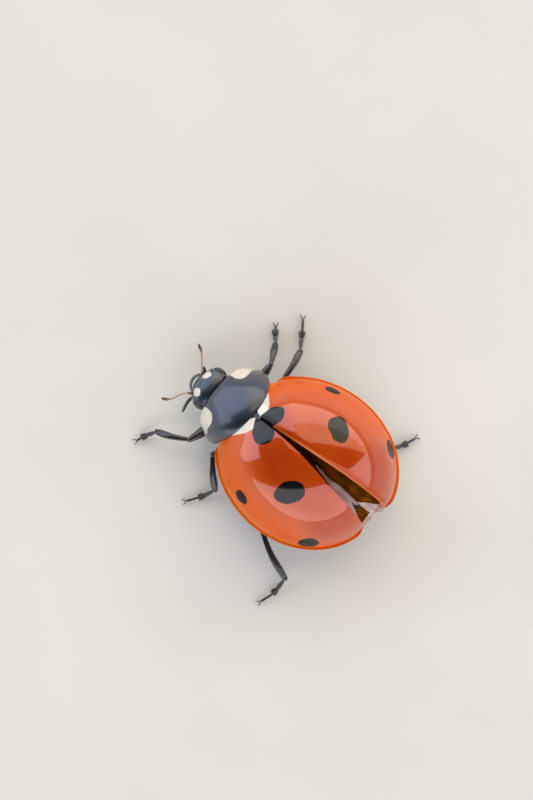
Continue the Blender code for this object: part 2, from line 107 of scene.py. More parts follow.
# Head, as in the solids, turned and tipped about its own centre.
HEAD_CENTRE, HEAD_HALF, HEAD_POWER = (0.18, -1.8, 1.34), (0.72, 0.5, 0.56), 2.5
HEAD_YAW, HEAD_PITCH = 6.0, 24.0
EYE_CENTRE, EYE_HALF = (0.6, -0.02, 0.1), (0.185, 0.27, 0.25)

# Trunk sections as (y, half width, lowest, widest level, highest), as in the solids.
PROTHORAX = (
    (-1.2, 0.85, 1.0, 1.25, 1.7),
    (-0.8, 1.14, 0.9, 1.25, 1.98),
    (-0.46, 1.14, 0.9, 1.25, 2.05),
)
THORAX = (
    (-0.42, 0.96, 0.95, 1.25, 1.92),
    (0.0, 1.08, 0.9, 1.2, 2.06),
    (0.5, 1.45, 0.86, 1.15, 2.28),
    (1.1, 1.74, 0.84, 1.12, 2.38),
    (1.8, 1.88, 0.84, 1.1, 2.42),
)
ABDOMEN_START, ABDOMEN_END = 1.84, 4.66
ABDOMEN_HALF, ABDOMEN_LOW, ABDOMEN_HIGH, ABDOMEN_LEVEL = 1.9, 0.86, 2.42, 1.12
BACK_POWER, BELLY_POWER = 2.4, 1.9

# Legs: hip, knee, the shin's bend, ankle, then the foot's pad, claw joint and claws.
LEGS = {
    "fore_left": (
        (0.45, -0.78, 0.66), (1.92, -1.3, 0.96), (2.22, -1.86, 0.78), (2.38, -2.34, 0.42),
        (2.62, -2.5, 0.16), (2.78, -2.58, 0.14), (3.1, -2.71, 0.03),
    ),
    "fore_right": (
        (-0.35, -0.72, 0.66), (-1.78, -0.78, 0.88), (-2.1, -0.93, 0.7), (-2.46, -1.1, 0.38),
        (-2.68, -1.25, 0.15), (-2.78, -1.34, 0.13), (-3.04, -1.54, 0.03),
    ),
    "mid_left": (
        (0.62, 0.62, 0.62), (1.8, -0.4, 0.8), (2.3, 0.03, 0.66), (2.66, 0.43, 0.38),
        (2.98, 0.29, 0.15), (3.2, 0.16, 0.13), (3.64, -0.15, 0.03),
    ),
    "mid_right": (
        (-0.58, 0.66, 0.62), (-1.44, -0.12, 0.72), (-2.26, -0.19, 0.62), (-2.82, -0.3, 0.38),
        (-3.2, -0.54, 0.15), (-3.36, -0.64, 0.13), (-3.83, -0.98, 0.03),
    ),
    "hind_left": (
        (0.84, 1.6, 0.6), (2.62, 2.32, 0.72), (3.16, 3.26, 0.6), (3.48, 4.15, 0.38),
        (3.88, 4.17, 0.15), (4.12, 4.16, 0.13), (4.7, 3.97, 0.03),
    ),
    "hind_right": (
        (-0.8, 1.6, 0.6), (-2.06, 2.36, 0.68), (-2.2, 3.3, 0.56), (-2.18, 4.17, 0.36),
        (-2.5, 4.38, 0.15), (-2.68, 4.47, 0.13), (-3.12, 4.63, 0.03),
    ),
}

# Feelers and palps, along their length.
ANTENNAE = {
    "left": (
        (0.6, -2.1, 1.36), (0.76, -2.32, 1.42), (0.97, -2.5, 1.47), (1.22, -2.6, 1.5),
        (1.37, -2.73, 1.5), (1.47, -2.91, 1.47),
    ),
    "right": (
        (0.0, -2.16, 1.38), (-0.11, -2.42, 1.43), (-0.25, -2.56, 1.47), (-0.46, -2.73, 1.5),
        (-0.62, -2.9, 1.5), (-0.73, -3.1, 1.47),
    ),
}
PALPS = {
    "left": ((0.5, -1.9, 0.72), (0.72, -2.12, 0.68), (0.96, -2.16, 0.66), (1.35, -2.08, 0.6)),
    "right": ((0.02, -1.92, 0.72), (-0.12, -2.16, 0.7), (-0.22, -2.36, 0.66), (-0.32, -2.5, 0.6)),
}


def place(point):
    """A body point in millimetres as a place in the frame, in metres."""
    return ORIGIN + Vector(point) * MM


def power(value, exponent):
    """A power that keeps the value's sign."""
    return copysign(abs(value) ** exponent, value)


def between(a, b, t):
    """a where t is 0 and b where it is 1."""
    return a + (b - a) * t


def bump(x, width):
    """1 at x = 0, falling off smoothly on both sides within about width."""
    return exp(-((x / width) ** 2))


def fade(x, reach):
    """1 at x = 0, easing down to 0 at reach."""
    return max(0.0, 1 - x / reach) ** 2


def turned(x, y, degrees):
    """x and y as read in axes turned by so many degrees."""
    a = radians(degrees)
    return x * cos(a) + y * sin(a), y * cos(a) - x * sin(a)


def smooth_path(stops, count):
    """Evenly stepped points on a smooth curve through the stops."""
    stops = [Vector(s) for s in stops]
    padded = [2 * stops[0] - stops[1], *stops, 2 * stops[-1] - stops[-2]]
    path = []
    for k in range(count + 1):
        along = min(k / count * (len(stops) - 1), len(stops) - 1 - 1e-9)
        i, t = int(along), along - int(along)
        p0, p1, p2, p3 = padded[i : i + 4]
        curve = 2 * p1 + (p2 - p0) * t + (2 * p0 - 5 * p1 + 4 * p2 - p3) * t**2
        path.append((curve + (3 * p1 - p0 - 3 * p2 + p3) * t**3) / 2)
    return path


def along_path(path, t):
    """The place a share t down a path, the path's direction there, and the two axes across it."""
    at = min(max(t, 0.0), 1.0) * (len(path) - 1)
    i = min(int(at), len(path) - 2)
    along = (path[i + 1] - path[i]).normalized()
    side = along.cross(UP).normalized()
    return path[i].lerp(path[i + 1], at - i), along, side, side.cross(along)


def turns(count, start=0.0):
    """Evenly spaced angles, the first one a share start of a step round."""
    return [FULL_TURN * (i + start) / count for i in range(count)]


def ellipse(centre, side, over, wide, high, angles):
    """Points round a centre, in the plane of two axes."""
    return [centre + side * wide * cos(a) + over * high * sin(a) for a in angles]


def grid_normals(grid):
    """Unit normals of a surface given as an array of rows of points."""
    normals = np.cross(np.gradient(grid, axis=1), np.gradient(grid, axis=0))
    return normals / np.maximum(np.linalg.norm(normals, axis=2, keepdims=True), 1e-9)


class Shape:
    """Points and faces of a mesh under construction, in body millimetres.

    Each point carries a mark, a number that its material reads, and each face its material's slot.
    """

    def __init__(self):
        self.points, self.faces, self.marks, self.slots, self.patches = [], [], [], [], []

    def add(self, points, faces, mark=0.0, slot=0, patch=(0.5, 0.5)):
        """mark is one number for all the points or a list with one for each."""
        start = len(self.points)
        self.points += [Vector(p) for p in points]
        self.faces += [[start + i for i in face] for face in faces]
        self.marks += mark if isinstance(mark, list) else [mark] * len(points)
        self.slots += [slot] * len(faces)
        self.patches += [patch] * len(points)

    def loft(self, rings, mark=0.0):
        """A skin over rings of equal count, closed at both ends. A ring of one point is a tip."""
        faces, start = [], 0
        for ring, after in zip(rings, rings[1:]):
            a, b = len(ring), len(after)
            count, then = max(a, b), start + a
            for i in range(count):
                j = (i + 1) % count
                face = (start + i % a, start + j % a, then + j % b, then + i % b)
                faces.append(list(dict.fromkeys(face)))
            start = then
        for ring, first in ((rings[0], 0), (rings[-1], start)):
            if len(ring) > 2:
                faces.append(list(range(first, first + len(ring))))
        self.add([p for ring in rings for p in ring], faces, mark)

    def shell(self, outer, inner, marks, inner_mark=FAR, slot=0):
        """A thin plate between two grids of points, closed along its border."""
        rows, columns = len(outer), len(outer[0])
        base = rows * columns
        starts = [k * columns + i for k in range(rows - 1) for i in range(columns - 1)]
        faces = [(a, a + 1, a + columns + 1, a + columns) for a in starts]
        faces += [[base + n for n in quad] for quad in faces]
        border = [*range(columns), *range(2 * columns - 1, base, columns)]
        border += [*range(base - 2, base - columns - 1, -1), *range(base - 2 * columns, 0, -columns)]
        faces += [(a, b, base + b, base + a) for a, b in zip(border, border[1:] + border[:1])]
        points = [p for grid in (outer, inner) for row in grid for p in row]
        self.add(points, faces, [m for row in marks for m in row] + [inner_mark] * base, slot)

    def ball(self, matrix, half, exponent=2.0, sides=24, levels=16, mark=0.0, change=None):
        """A ball drawn out to half sizes, squarer as its exponent rises over 2. Its poles lie on x."""
        rings = []
        for k in range(levels + 1):
            tilt = pi * (k / levels - 0.5)
            flat = power(max(cos(tilt), 0.0), 2 / exponent)
            high = power(sin(tilt), 2 / exponent)
            ring = []
            for turn in turns(1 if k in (0, levels) else sides):
                x, y = power(cos(turn), 2 / exponent), power(sin(turn), 2 / exponent)
                point = Vector((half[0] * high, half[1] * flat * x, half[2] * flat * y))
                ring.append(matrix @ (change(point) if change else point))
            rings.append(ring)
        self.loft(rings, mark)

    def limb(self, path, half_at, steps, sides, span=(0.0, 1.0), mark=0.0):
        """A round-ended limb down a path. half_at(t) gives half width and half height at t."""
        rings = []
        for k in range(steps + 1):
            t = 0.5 - 0.5 * cos(pi * k / steps)
            centre, _, side, over = along_path(path, between(*span, t))
            wide, high = half_at(t)
            is_tip = k in (0, steps) or wide < 1e-4
            ring = [centre] if is_tip else ellipse(centre, side, over, wide, high, turns(sides, 0.5))
            rings.append(ring)
        self.loft(rings, mark)

    def hair(self, root, tip, thick, bend, patch):
        """One tapered, bent bristle. All its points share a small patch of the bake's map."""
        side = (tip - root).normalized().orthogonal().normalized()
        over = (tip - root).normalized().cross(side)
        points = []
        for t, share in ((0.0, 1.0), (0.5, 0.7)):
            wide = thick * share
            points += ellipse(root.lerp(tip, t) + bend * t * t, side, over, wide, wide, turns(3))
        faces = [(i, (i + 1) % 3, 3 + (i + 1) % 3, 3 + i) for i in range(3)]
        faces += [(3 + i, 3 + (i + 1) % 3, 6) for i in range(3)]
        self.add([*points, tip + bend], faces, patch=patch)


PATCH = 0.003  # how wide a bristle's patch of the bake's map is
PATCH_CORNERS = ((0.0, 0.0), (1.0, 0.0), (0.5, 1.0))
SHARP = radians(60.0)  # faces that meet at more than this don't shade into each other


def add_object(name, data):
    """A new object in the scene."""
    obj = bpy.data.objects.new(name, data)
    bpy.context.scene.collection.objects.link(obj)
    return obj


def set_numbers(mesh, name, values):
    """Gives each point of a mesh a number, which materials read by its name."""
    mesh.attributes.new(name, "FLOAT", "POINT").data.foreach_set("value", values)


def piece(name, shape, materials, *nodes, slot="black_cuticle", coat=False):
    """Turns a shape into a piece of the model that rides on its only body."""
    mesh = bpy.data.meshes.new(name)
    mesh.from_pydata([place(p) for p in shape.points], [], shape.faces)
    set_numbers(mesh, "mark", shape.marks)
    mesh.polygons.foreach_set("material_index", shape.slots)
    if coat:
        layer = mesh.uv_layers.new(name="OFBake")
        for loop in mesh.loops:
            u, v = shape.patches[loop.vertex_index]
            du, dv = PATCH_CORNERS[loop.vertex_index % 3]
            layer.uv[loop.index].vector = (u + du * PATCH, v + dv * PATCH)
    shell = bmesh.new()
    shell.from_mesh(mesh)
    bmesh.ops.recalc_face_normals(shell, faces=shell.faces)
    shell.to_mesh(mesh)
    shell.free()
    mesh.shade_smooth()
    mesh.set_sharp_from_angle(angle=SHARP)
    for material in materials:
        mesh.materials.append(material)
    obj = add_object(name, mesh)
    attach(obj, "root")
    if nodes:
        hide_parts(*nodes)
    return mesh


# Finishes.


def colour(red, green, blue):
    """A colour seen on a screen, 0 to 255, as the linear light that shaders take."""
    shares = [c / 255 for c in (red, green, blue)]
    return (*[((c + 0.055) / 1.055) ** 2.4 if c > 0.04 else c / 12.92 for c in shares], 1.0)


def add_node(tree, kind, inputs=(), **settings):
    """A shader node with its settings and inputs. An input is a number, a colour or an output."""
    made = tree.nodes.new("ShaderNode" + kind)
    for name, value in settings.items():
        setattr(made, name, value)
    for socket, value in dict(inputs).items():
        if isinstance(value, bpy.types.NodeSocket):
            tree.links.new(value, made.inputs[socket])
        else:
            made.inputs[socket].default_value = value
    return made.outputs


class Finish:
    """A Principled material whose patterns are built from nodes."""

    def __init__(self, name, roughness, coat=0.0, coat_roughness=0.1, specular=0.5, metallic=0.0, alpha=1.0):
        self.material = bpy.data.materials.new(name)
        self.material.use_nodes = True
        self.tree = self.material.node_tree
        self.shader = self.tree.nodes["Principled BSDF"]
        fixed = {
            "Roughness": roughness,
            "Coat Weight": coat,
            "Coat Roughness": coat_roughness,
            "Specular IOR Level": specular,
            "Metallic": metallic,
            "Alpha": alpha,
        }
        for socket, value in fixed.items():
            self.shader.inputs[socket].default_value = value
        self.places = self.node("TexCoord")["Object"]

    def node(self, kind, inputs=(), **settings):
        return add_node(self.tree, kind, inputs, **settings)

    def noise(self, size, detail=3.0):
        """Smooth noise from 0 to 1 whose lumps are about size millimetres across."""
        inputs = {"Vector": self.places, "Scale": 1 / (size * MM), "Detail": detail}
        return self.node("TexNoise", inputs)["Fac"]

    def cells(self, size, feature="F1"):
        """Distance to the nearest of scattered points about size millimetres apart."""
        inputs = {"Vector": self.places, "Scale": 1 / (size * MM)}
        return self.node("TexVoronoi", inputs, feature=feature)["Distance"]

    def mark(self, name="mark"):
        """The number that the mesh's points carry under a name."""
        return self.node("Attribute", attribute_name=name)["Fac"]

    def math(self, operation, a, b):
        return self.node("Math", {0: a, 1: b}, operation=operation)[0]

    def times(self, a, b):
        return self.math("MULTIPLY", a, b)

    def stretch(self, value, low, high, to_low=0.0, to_high=1.0):
        """value as it passes from low to high, smoothly turned into to_low to to_high."""
        inputs = {"Value": value, "From Min": low, "From Max": high, "To Min": to_low, "To Max": to_high}
        return self.node("MapRange", inputs, interpolation_type="SMOOTHSTEP")["Result"]

    def clouds(self, size, low=0.3, high=0.7, to_low=0.0, to_high=1.0, detail=3.0):
        """Noise, stretched."""
        return self.stretch(self.noise(size, detail), low, high, to_low, to_high)

    def inside(self, name, ragged, fade_over):
        """1 where the points' numbers under a name are below 0, with a ragged, faded border."""
        return self.stretch(self.math("ADD", self.mark(name), ragged), fade_over, -fade_over)

    def mix(self, share, a, b):
        """Colour a where share is 0 and b where it is 1. A colour is as for colour() or an output."""
        a, b = (colour(*c) if isinstance(c, tuple) else c for c in (a, b))
        return self.node("Mix", {0: share, 6: a, 7: b}, data_type="RGBA")[2]

    def made(self, base, *reliefs, roughness=None, coat=None):
        """The material with its patterns. A relief is a height from 0 to 1 and a depth in millimetres."""
        normal = None
        for height, depth in reliefs:
            inputs = {"Height": height, "Distance": depth * MM, "Strength": 1.0}
            if normal:
                inputs["Normal"] = normal
            normal = self.node("Bump", inputs)["Normal"]
        patterns = {"Base Color": base, "Roughness": roughness, "Coat Weight": coat, "Normal": normal}
        for socket, value in patterns.items():
            if value:
                self.tree.links.new(value, self.shader.inputs[socket])
        return self.material


SPOT_EDGE = 0.012  # half the width over which a marking's edge fades, in millimetres
BLACK, CREAM = (13, 13, 16), (238, 230, 214)


def wing_case_finish():
    """Orange-red lacquer with black spots and cream corners, with painted light: lighter orange on the
    flanks and at the thin edges.
    """
    skin = Finish("wing_case", 0.34, coat_roughness=0.08, specular=0.05, metallic=0.2)
    skin.shader.inputs["Coat IOR"].default_value = 1.75
    edge, flank = skin.mark("edge"), skin.mark("flank")
    body = skin.mix(skin.clouds(0.9), (184, 60, 2), (194, 70, 4))
    # Painted reflection: the colour lightens to orange towards the margin, standing in for warm light
    # reflected on the flanks.
    body = skin.mix(skin.stretch(flank, 1.7, 0.1), body, (236, 100, 8))
    grain = skin.clouds(0.06, 0.35, 0.75, detail=2.0)
    body = skin.mix(skin.times(grain, 0.2), body, (172, 54, 3))
    # Painted light: the thin margin and the seam's edge are lightened, standing in for light shining through
    # the thin cuticle.
    body = skin.mix(skin.times(skin.stretch(edge, 0.2, 0.03), 0.8), body, (242, 144, 52))
    ragged = skin.clouds(0.25, 0.2, 0.8, -0.009, 0.009, 2.0)
    body = skin.mix(skin.inside("corner", ragged, 2 * SPOT_EDGE), body, CREAM)
    spot = skin.inside("mark", ragged, SPOT_EDGE)
    # The lacquer is thickest on top of the dome, and thinner on the spots and at the edges.
    lacquer = skin.times(skin.stretch(flank, 0.15, 1.0, 0.13, 0.92), skin.stretch(spot, 0.0, 1.0, 1.0, 0.58))
    lacquer = skin.times(lacquer, skin.stretch(edge, 0.12, 0.6, 0.3, 1.0))
    pits, dents = (skin.stretch(skin.cells(0.11), 0.0, 0.22), 0.0012), (skin.noise(0.5, 1.0), 0.004)
    shine = skin.clouds(0.2, 0.2, 0.8, 0.28, 0.38)
    return skin.made(skin.mix(spot, body, BLACK), pits, dents, roughness=shine, coat=lacquer)


def lining_finish():
    """The cases' inner side and their folded-under rim, dull orange."""
    skin = Finish("case_lining", 0.5, coat=0.2, coat_roughness=0.3)
    return skin.made(skin.mix(skin.clouds(0.35), (196, 84, 22), (224, 120, 40)), (skin.cells(0.08), 0.004))


def black_finish(name, roughness, coat_roughness, depth):
    """Black cuticle with a fine leathery net, and cream where its mark is below zero."""
    skin = Finish(name, roughness, coat=1.0, coat_roughness=coat_roughness, specular=1.0)
    skin.shader.inputs["Specular Tint"].default_value = (0.55, 0.68, 1.0, 1.0)
    pale = skin.inside("mark", skin.clouds(0.2, 0.2, 0.8, -0.008, 0.008, 2.0), SPOT_EDGE)
    body = skin.mix(skin.clouds(0.4), (14, 14, 18), (26, 26, 32))
    specks = skin.times(skin.stretch(skin.cells(0.09), 0.16, 0.08), skin.clouds(0.45, 0.6, 0.7))
    body = skin.mix(skin.times(specks, 0.5), body, (176, 176, 184))
    chalk = skin.mix(skin.clouds(0.15), CREAM, (226, 214, 190))
    shine = skin.clouds(0.1, 0.2, 0.8, roughness - 0.06, roughness + 0.08)
    net = skin.stretch(skin.cells(0.028, "DISTANCE_TO_EDGE"), 0.0, 0.2)
    pits = skin.stretch(skin.cells(0.085), 0.0, 0.25)
    reliefs = (net, depth * 0.3), (pits, depth), (skin.noise(0.3, 2.0), depth * 2)
    return skin.made(skin.mix(pale, body, chalk), *reliefs, roughness=shine)


def brown_finish(name, dark, light, roughness, coat):
    """Plain cuticle between two colours, light where its mark is 1."""
    skin = Finish(name, roughness, coat=coat, coat_roughness=0.15)
    share = skin.math("ADD", skin.mark(), skin.clouds(0.08, 0.25, 0.75, -0.18, 0.18))
    return skin.made(skin.mix(skin.stretch(share, 0.0, 1.0), dark, light), (skin.noise(0.05, 2.0), 0.003))


def membrane_finish(name, clear, stain, roughness, coat, alpha):
    """Folded wing: a cloudy membrane with brown veins where its mark is 1."""
    skin = Finish(name, roughness, coat=coat, coat_roughness=0.15, specular=coat, alpha=alpha)
    film = skin.mix(skin.clouds(0.5, 0.35, 0.65), clear, stain)
    body = skin.mix(skin.stretch(skin.mark(), 0.3, 0.7), film, (78, 42, 12))
    return skin.made(body, (skin.noise(0.12, 2.0), 0.005))


def eye_finish():
    """Dark lenses with black borders between them."""
    skin = Finish("eye_lens", 0.25, coat=0.8, coat_roughness=0.1)
    lens = skin.mix(skin.clouds(0.12), (12, 11, 13), (34, 28, 26))
    body = skin.mix(skin.stretch(skin.mark(), 0.55, 1.0), lens, (6, 6, 7))
    return skin.made(body, (skin.noise(0.02, 2.0), 0.0006))


def bristle_finish():
    skin = Finish("bristle", 0.45)
    return skin.made(skin.mix(skin.clouds(0.3), (44, 38, 34), (96, 82, 66)))


def floor_finish():
    skin = Finish("floor", 0.6, specular=0.3)
    body = skin.mix(skin.clouds(6.0, detail=5.0), (229, 229, 224), (234, 234, 229))
    return skin.made(body, (skin.noise(0.4, 4.0), 0.004))


WING_CASE = wing_case_finish()
LINING = lining_finish()
SHIELD = black_finish("shield_cuticle", 0.37, 0.16, 0.0022)
HEAD_BLACK = black_finish("head_cuticle", 0.38, 0.18, 0.002)
TRUNK = black_finish("trunk_cuticle", 0.42, 0.25, 0.005)
LEG = brown_finish("leg_cuticle", (15, 14, 16), (64, 44, 30), 0.32, 0.9)
FEELER = brown_finish("feeler_cuticle", (188, 140, 92), (52, 34, 22), 0.38, 0.5)
LIP = brown_finish("lip_cuticle", (22, 20, 24), (205, 196, 178), 0.35, 0.7)
WING_SMOKY = membrane_finish("wing_smoky", (142, 78, 8), (98, 52, 5), 0.55, 0.0, 0.96)
WING_PALE = membrane_finish("wing_pale", (234, 206, 198), (206, 174, 166), 0.35, 0.3, 0.92)
EYE = eye_finish()
BRISTLE = bristle_finish()


# Markings.


def blob(x, y, blobs):
    """How far a point of the plan lies outside the nearest of some blobs, in millimetres.

    A blob is (centre x, centre y, half across, half along, turn in degrees, power).
    """
    nearest = FAR
    for cx, cy, wide, long, turn, exponent in blobs:
        across, along = turned(x - cx, y - cy, turn)
        reach = (abs(across / wide) ** exponent + abs(along / long) ** exponent) ** (1 / exponent)
        nearest = min(nearest, (reach - 1) * min(wide, long))
    return nearest


def both(a, b, soft=0.12):
    """The worse of two distances, with a rounded corner where they meet."""
    return max(a, b) + max(soft - abs(a - b), 0.0) ** 2 / (4 * soft)


# Spots as (x, y, half across, half along, turn). A case's x grows outwards from the seam.
SPOTS = {
    "left": (
        (0.27, 0.53, 0.38, 0.42, 0.0),
        (0.1, 0.24, 0.3, 0.2, 40.0),
        (0.0, 0.1, 0.14, 0.14, 0.0),
        (1.09, 2.55, 0.55, 0.39, -25.0),
        (2.23, 1.5, 0.3, 0.27, 0.0),
        (1.75, 4.19, 0.5, 0.34, 0.0),
    ),
    "right": (
        (0.36, 0.33, 0.36, 0.34, 0.0),
        (0.06, 0.16, 0.26, 0.24, 0.0),
        (1.24, 2.26, 0.38, 0.33, 0.0),
        (1.05, 2.5, 0.34, 0.29, 0.0),
        (2.22, 1.46, 0.27, 0.27, 0.0),
        (1.72, 4.19, 0.46, 0.33, 0.0),
    ),
}
# The cream corners beside the scutellum, as convex outlines that run clockwise.
CORNERS = {
    "left": ((-0.03, -0.2), (0.04, 0.1), (0.36, 0.2), (0.66, 0.11), (1.0, -0.16), (0.5, -0.6)),
    "right": ((-0.04, -0.3), (-0.03, 0.0), (0.32, 0.05), (0.56, 0.0), (0.9, -0.26), (0.5, -0.7)),
}


def outside(x, y, corners):
    """How far points lie outside a convex outline, by its worst side."""
    worst = -FAR
    for (ax, ay), (bx, by) in zip(corners, corners[1:] + corners[:1]):
        reach = ((x - ax) * (ay - by) + (y - ay) * (bx - ax)) / hypot(bx - ax, by - ay)
        worst = np.maximum(worst, reach)
    return worst


# Wing cases.


def rim_z(y):
    return RIM_Z + SHOULDER_LIFT * max(0.0, (CENTRE_Y - y) / HALF_LENGTH) ** 2


def case_edge(share):
    """Plan point on a closed case's outer edge, from the front edge at 0 to the tip at 1."""
    turn = acos((CENTRE_Y - SHOULDER_END_Y) / HALF_LENGTH)
    if share < SHOULDER_SHARE:
        t = share / SHOULDER_SHARE
        end = (HALF_WIDTH * sin(turn), SHOULDER_END_Y)
        weights = ((1 - t) ** 2, 2 * t * (1 - t), t * t)
        stops = (FRONT_START, SHOULDER, end)
        return tuple(sum(w * p[axis] for w, p in zip(weights, stops)) for axis in (0, 1))
    angle = turn + (pi - turn) * (share - SHOULDER_SHARE) / (1 - SHOULDER_SHARE)
    x = max(HALF_WIDTH * sin(angle), 0.02)
    short = TIP_ROUNDING * fade(x, TIP_SPAN) if angle > QUARTER_TURN else 0.0
    return x, CENTRE_Y - HALF_LENGTH * cos(angle) - short


def dome_reach(x, y):
    """How far out on the dome a point lies: 0 at its top, 1 at its foot."""
    late = min(max((y - TIP_START_Y) / (CENTRE_Y + HALF_LENGTH - TIP_START_Y), 0.0), 1.0)
    stretched = y + TIP_ROUNDING * fade(x, TIP_SPAN) * late**6
    return hypot(x / HALF_WIDTH, (stretched - CENTRE_Y) / HALF_LENGTH) * (1 + FLANGE)


def shell_z(x, y, roll=(0.1, 0.0)):
    """Height of the closed shell's outside: a dome, its flat margin and its rolled inner edge."""
    reach = dome_reach(x, y)
    z = rim_z(y) + DOME * max(1 - min(reach, 1.0) ** DOME_POWER, 0.0) ** DOME_ROUND
    if reach > 1:
        z += FLANGE_CURL * ((reach - 1) / FLANGE) ** 2
    z -= roll[1] * fade(x, roll[0])
    return z + BUMP_RISE * bump(dist((x, y), SHOULDER_BUMP), BUMP_WIDTH)


def case_row(share, roll):
    """One row of the shell's outside, from the seam across the dome to the margin's edge."""
    edge_x, edge_y = case_edge(share)
    tip_y = case_edge(1.0)[1]
    seam_y = between(SEAM_START, tip_y, sin(QUARTER_TURN * share) ** 1.2)
    run = edge_y - seam_y
    # Where the dome's foot crosses this row, found by halving.
    near, far = 0.0, 1.0
    for _ in range(24):
        foot = (near + far) / 2
        if dome_reach(foot * edge_x, seam_y + foot * run) < 1:
            near = foot
        else:
            far = foot
    foot = min(max(foot, 0.5), 1 - 0.1 * FLANGE)
    shares = [foot * sin(QUARTER_TURN * i / WALL_COLUMNS) for i in range(WALL_COLUMNS + 1)]
    shares += [between(foot, 1.0, i / FLANGE_COLUMNS) for i in range(1, FLANGE_COLUMNS + 1)]
    plan = [(across * edge_x, seam_y + run * across) for across in shares]
    return [(x, y, shell_z(x, y, roll)) for x, y in plan]


def case_grid(name, shares):
    """The shell's outside as rows of points, with the normals that its inner side follows."""
    grid = np.array([case_row(share, SEAM_ROLL[name]) for share in shares])
    normals = grid_normals(grid)
    normals[-TIP_ROWS:] = normals[-TIP_ROWS - 1]  # the tip's own rows are too short to tell
    x, y, z = grid[..., 0], grid[..., 1], grid[..., 2]
    # The front edge reaches forward and dips under the shield.
    front = np.exp(-((np.arange(CASE_ROWS + 1) / FRONT_ROWS) ** 2))[:, None]
    reach = np.clip(x / 0.2, 0, 1) * np.clip((1.6 - x) / 0.5, 0, 1)
    forward, near_seam = FRONT_REACH[name]
    y -= (forward * reach + near_seam * (1 - reach) * (x < 1)) * front
    z -= front * (0.06 + 0.09 * reach)
    # Ahead of its middle the inner edge bulges towards the other case.
    bulge = SEAM_BULGE[name] * np.sin(pi * np.clip(y / SEAM_BULGE_END, 0, 1))
    x -= bulge * np.clip(1 - x / 0.6, 0, 1) ** 2
    return grid, normals


def case_matrix(name, side):
    """How a closed case is swung out, slid and lifted about its hinge."""
    pivot = Vector((side * HINGE[0], HINGE[1], shell_z(*HINGE)))
    slide = Vector((CASES_X, -side * CASE_SLIDE, 0.0))
    turn = Euler((radians(LIFTS[name]), 0.0, -side * radians(PARTING))).to_matrix().to_4x4()
    return Matrix.Translation(pivot + slide) @ turn @ Matrix.Translation(-pivot)


def spot_distance(grid, spots):
    """How far each point of the shell lies outside its spots, measured on the shell itself."""
    merged = np.zeros(grid.shape[:2])
    step, soft = 0.01, 0.05
    for cx, cy, wide, long, turn in spots:
        centre = np.array((cx, cy, shell_z(cx, cy)))
        across = np.array((step, 0.0, shell_z(cx + step, cy) - centre[2]))
        along = np.array((0.0, step, shell_z(cx, cy + step) - centre[2]))
        across /= np.linalg.norm(across)
        along -= across * (along @ across)
        along /= np.linalg.norm(along)
        u, v = turned((grid - centre) @ across, (grid - centre) @ along, turn)
        angle = np.arctan2(v, u)
        wave = 1 + 0.03 * np.sin(3 * angle + cx) + 0.02 * np.sin(5 * angle + cy)
        reach = np.hypot(u / wide, v / long)
        merged += np.exp(-np.clip((reach - wave) * min(wide, long), -1, 9) / soft)
    return -soft * np.log(np.maximum(merged, 1e-30))


def case_ring(row, normals, share):
    """A ring round one row: its outside, the folded-under rim, and the inner side back."""
    seam, edge = Vector(row[0]), Vector(row[-1])
    inward = Vector((-edge.x, seam.y - edge.y, 0.0))
    reach = inward.length
    inward.normalize()
    width = min(RIM_WIDE * (1 - share) ** 0.5 + RIM_LEAST, 0.45 * reach)
    depth = min(1.0, width / RIM_DEEP_FROM)
    ring = [Vector(p) for p in row]
    ring += [edge + inward * (near + width * part) - UP * down * depth for near, part, down in RIM_STOPS]
    for i in range(WALL_COLUMNS - 2, -1, -1):
        thick = min(SHELL + SEAM_THICKER * bump(row[i][0], 0.09), 0.3 * reach)
        inner = ring[i] - Vector(normals[i]) * thick
        inner.x = max(inner.x, seam.x)
        ring.append(inner)
    return ring


def build_case(name, side):
    """A wing case: a thin shell with a flat margin, a folded-under rim and a rolled inner edge."""
    shares = [LAST_SHARE * (k / CASE_ROWS) ** 1.25 for k in range(CASE_ROWS + 1)]
    grid, normals = case_grid(name, shares)
    x, y = grid[..., 0], grid[..., 1]
    margin = np.linalg.norm(grid[..., :2] - grid[:, -1:, :2], axis=2)
    late = np.clip((y - REAR_GLOSS[0]) / (REAR_GLOSS[1] - REAR_GLOSS[0]), 0, 1)
    matrix = case_matrix(name, side) @ Matrix.Diagonal((side, 1.0, 1.0, 1.0))
    rings = [[matrix @ p for p in case_ring(*row)] for row in zip(grid, normals, shares)]
    size, outer = len(rings[0]), len(grid[0])

    def round_rings(values, rest):
        """Numbers for the outside's points, with one number for the rest of each ring."""
        return list(np.pad(values, ((0, 0), (0, size - outer)), constant_values=rest).ravel())

    shape = Shape()
    shape.loft(rings, round_rings(spot_distance(grid, SPOTS[name]), FAR))
    lined = [int(outer <= i < size - 1) for i in range(size)]
    shape.slots[: CASE_ROWS * size] = lined * CASE_ROWS
    mesh = piece(f"elytron_{name}_shell", shape, [WING_CASE, LINING], f"elytron_{name}", slot="red_cuticle")
    set_numbers(mesh, "edge", round_rings(np.minimum(margin, x * 1.6 + SEAM_TINT[name]), 0.0))
    set_numbers(mesh, "flank", round_rings(margin * (1 + 1.6 * late), 0.0))
    set_numbers(mesh, "corner", round_rings(outside(x, y, CORNERS[name]), FAR))


# Pronotum and scutellum.


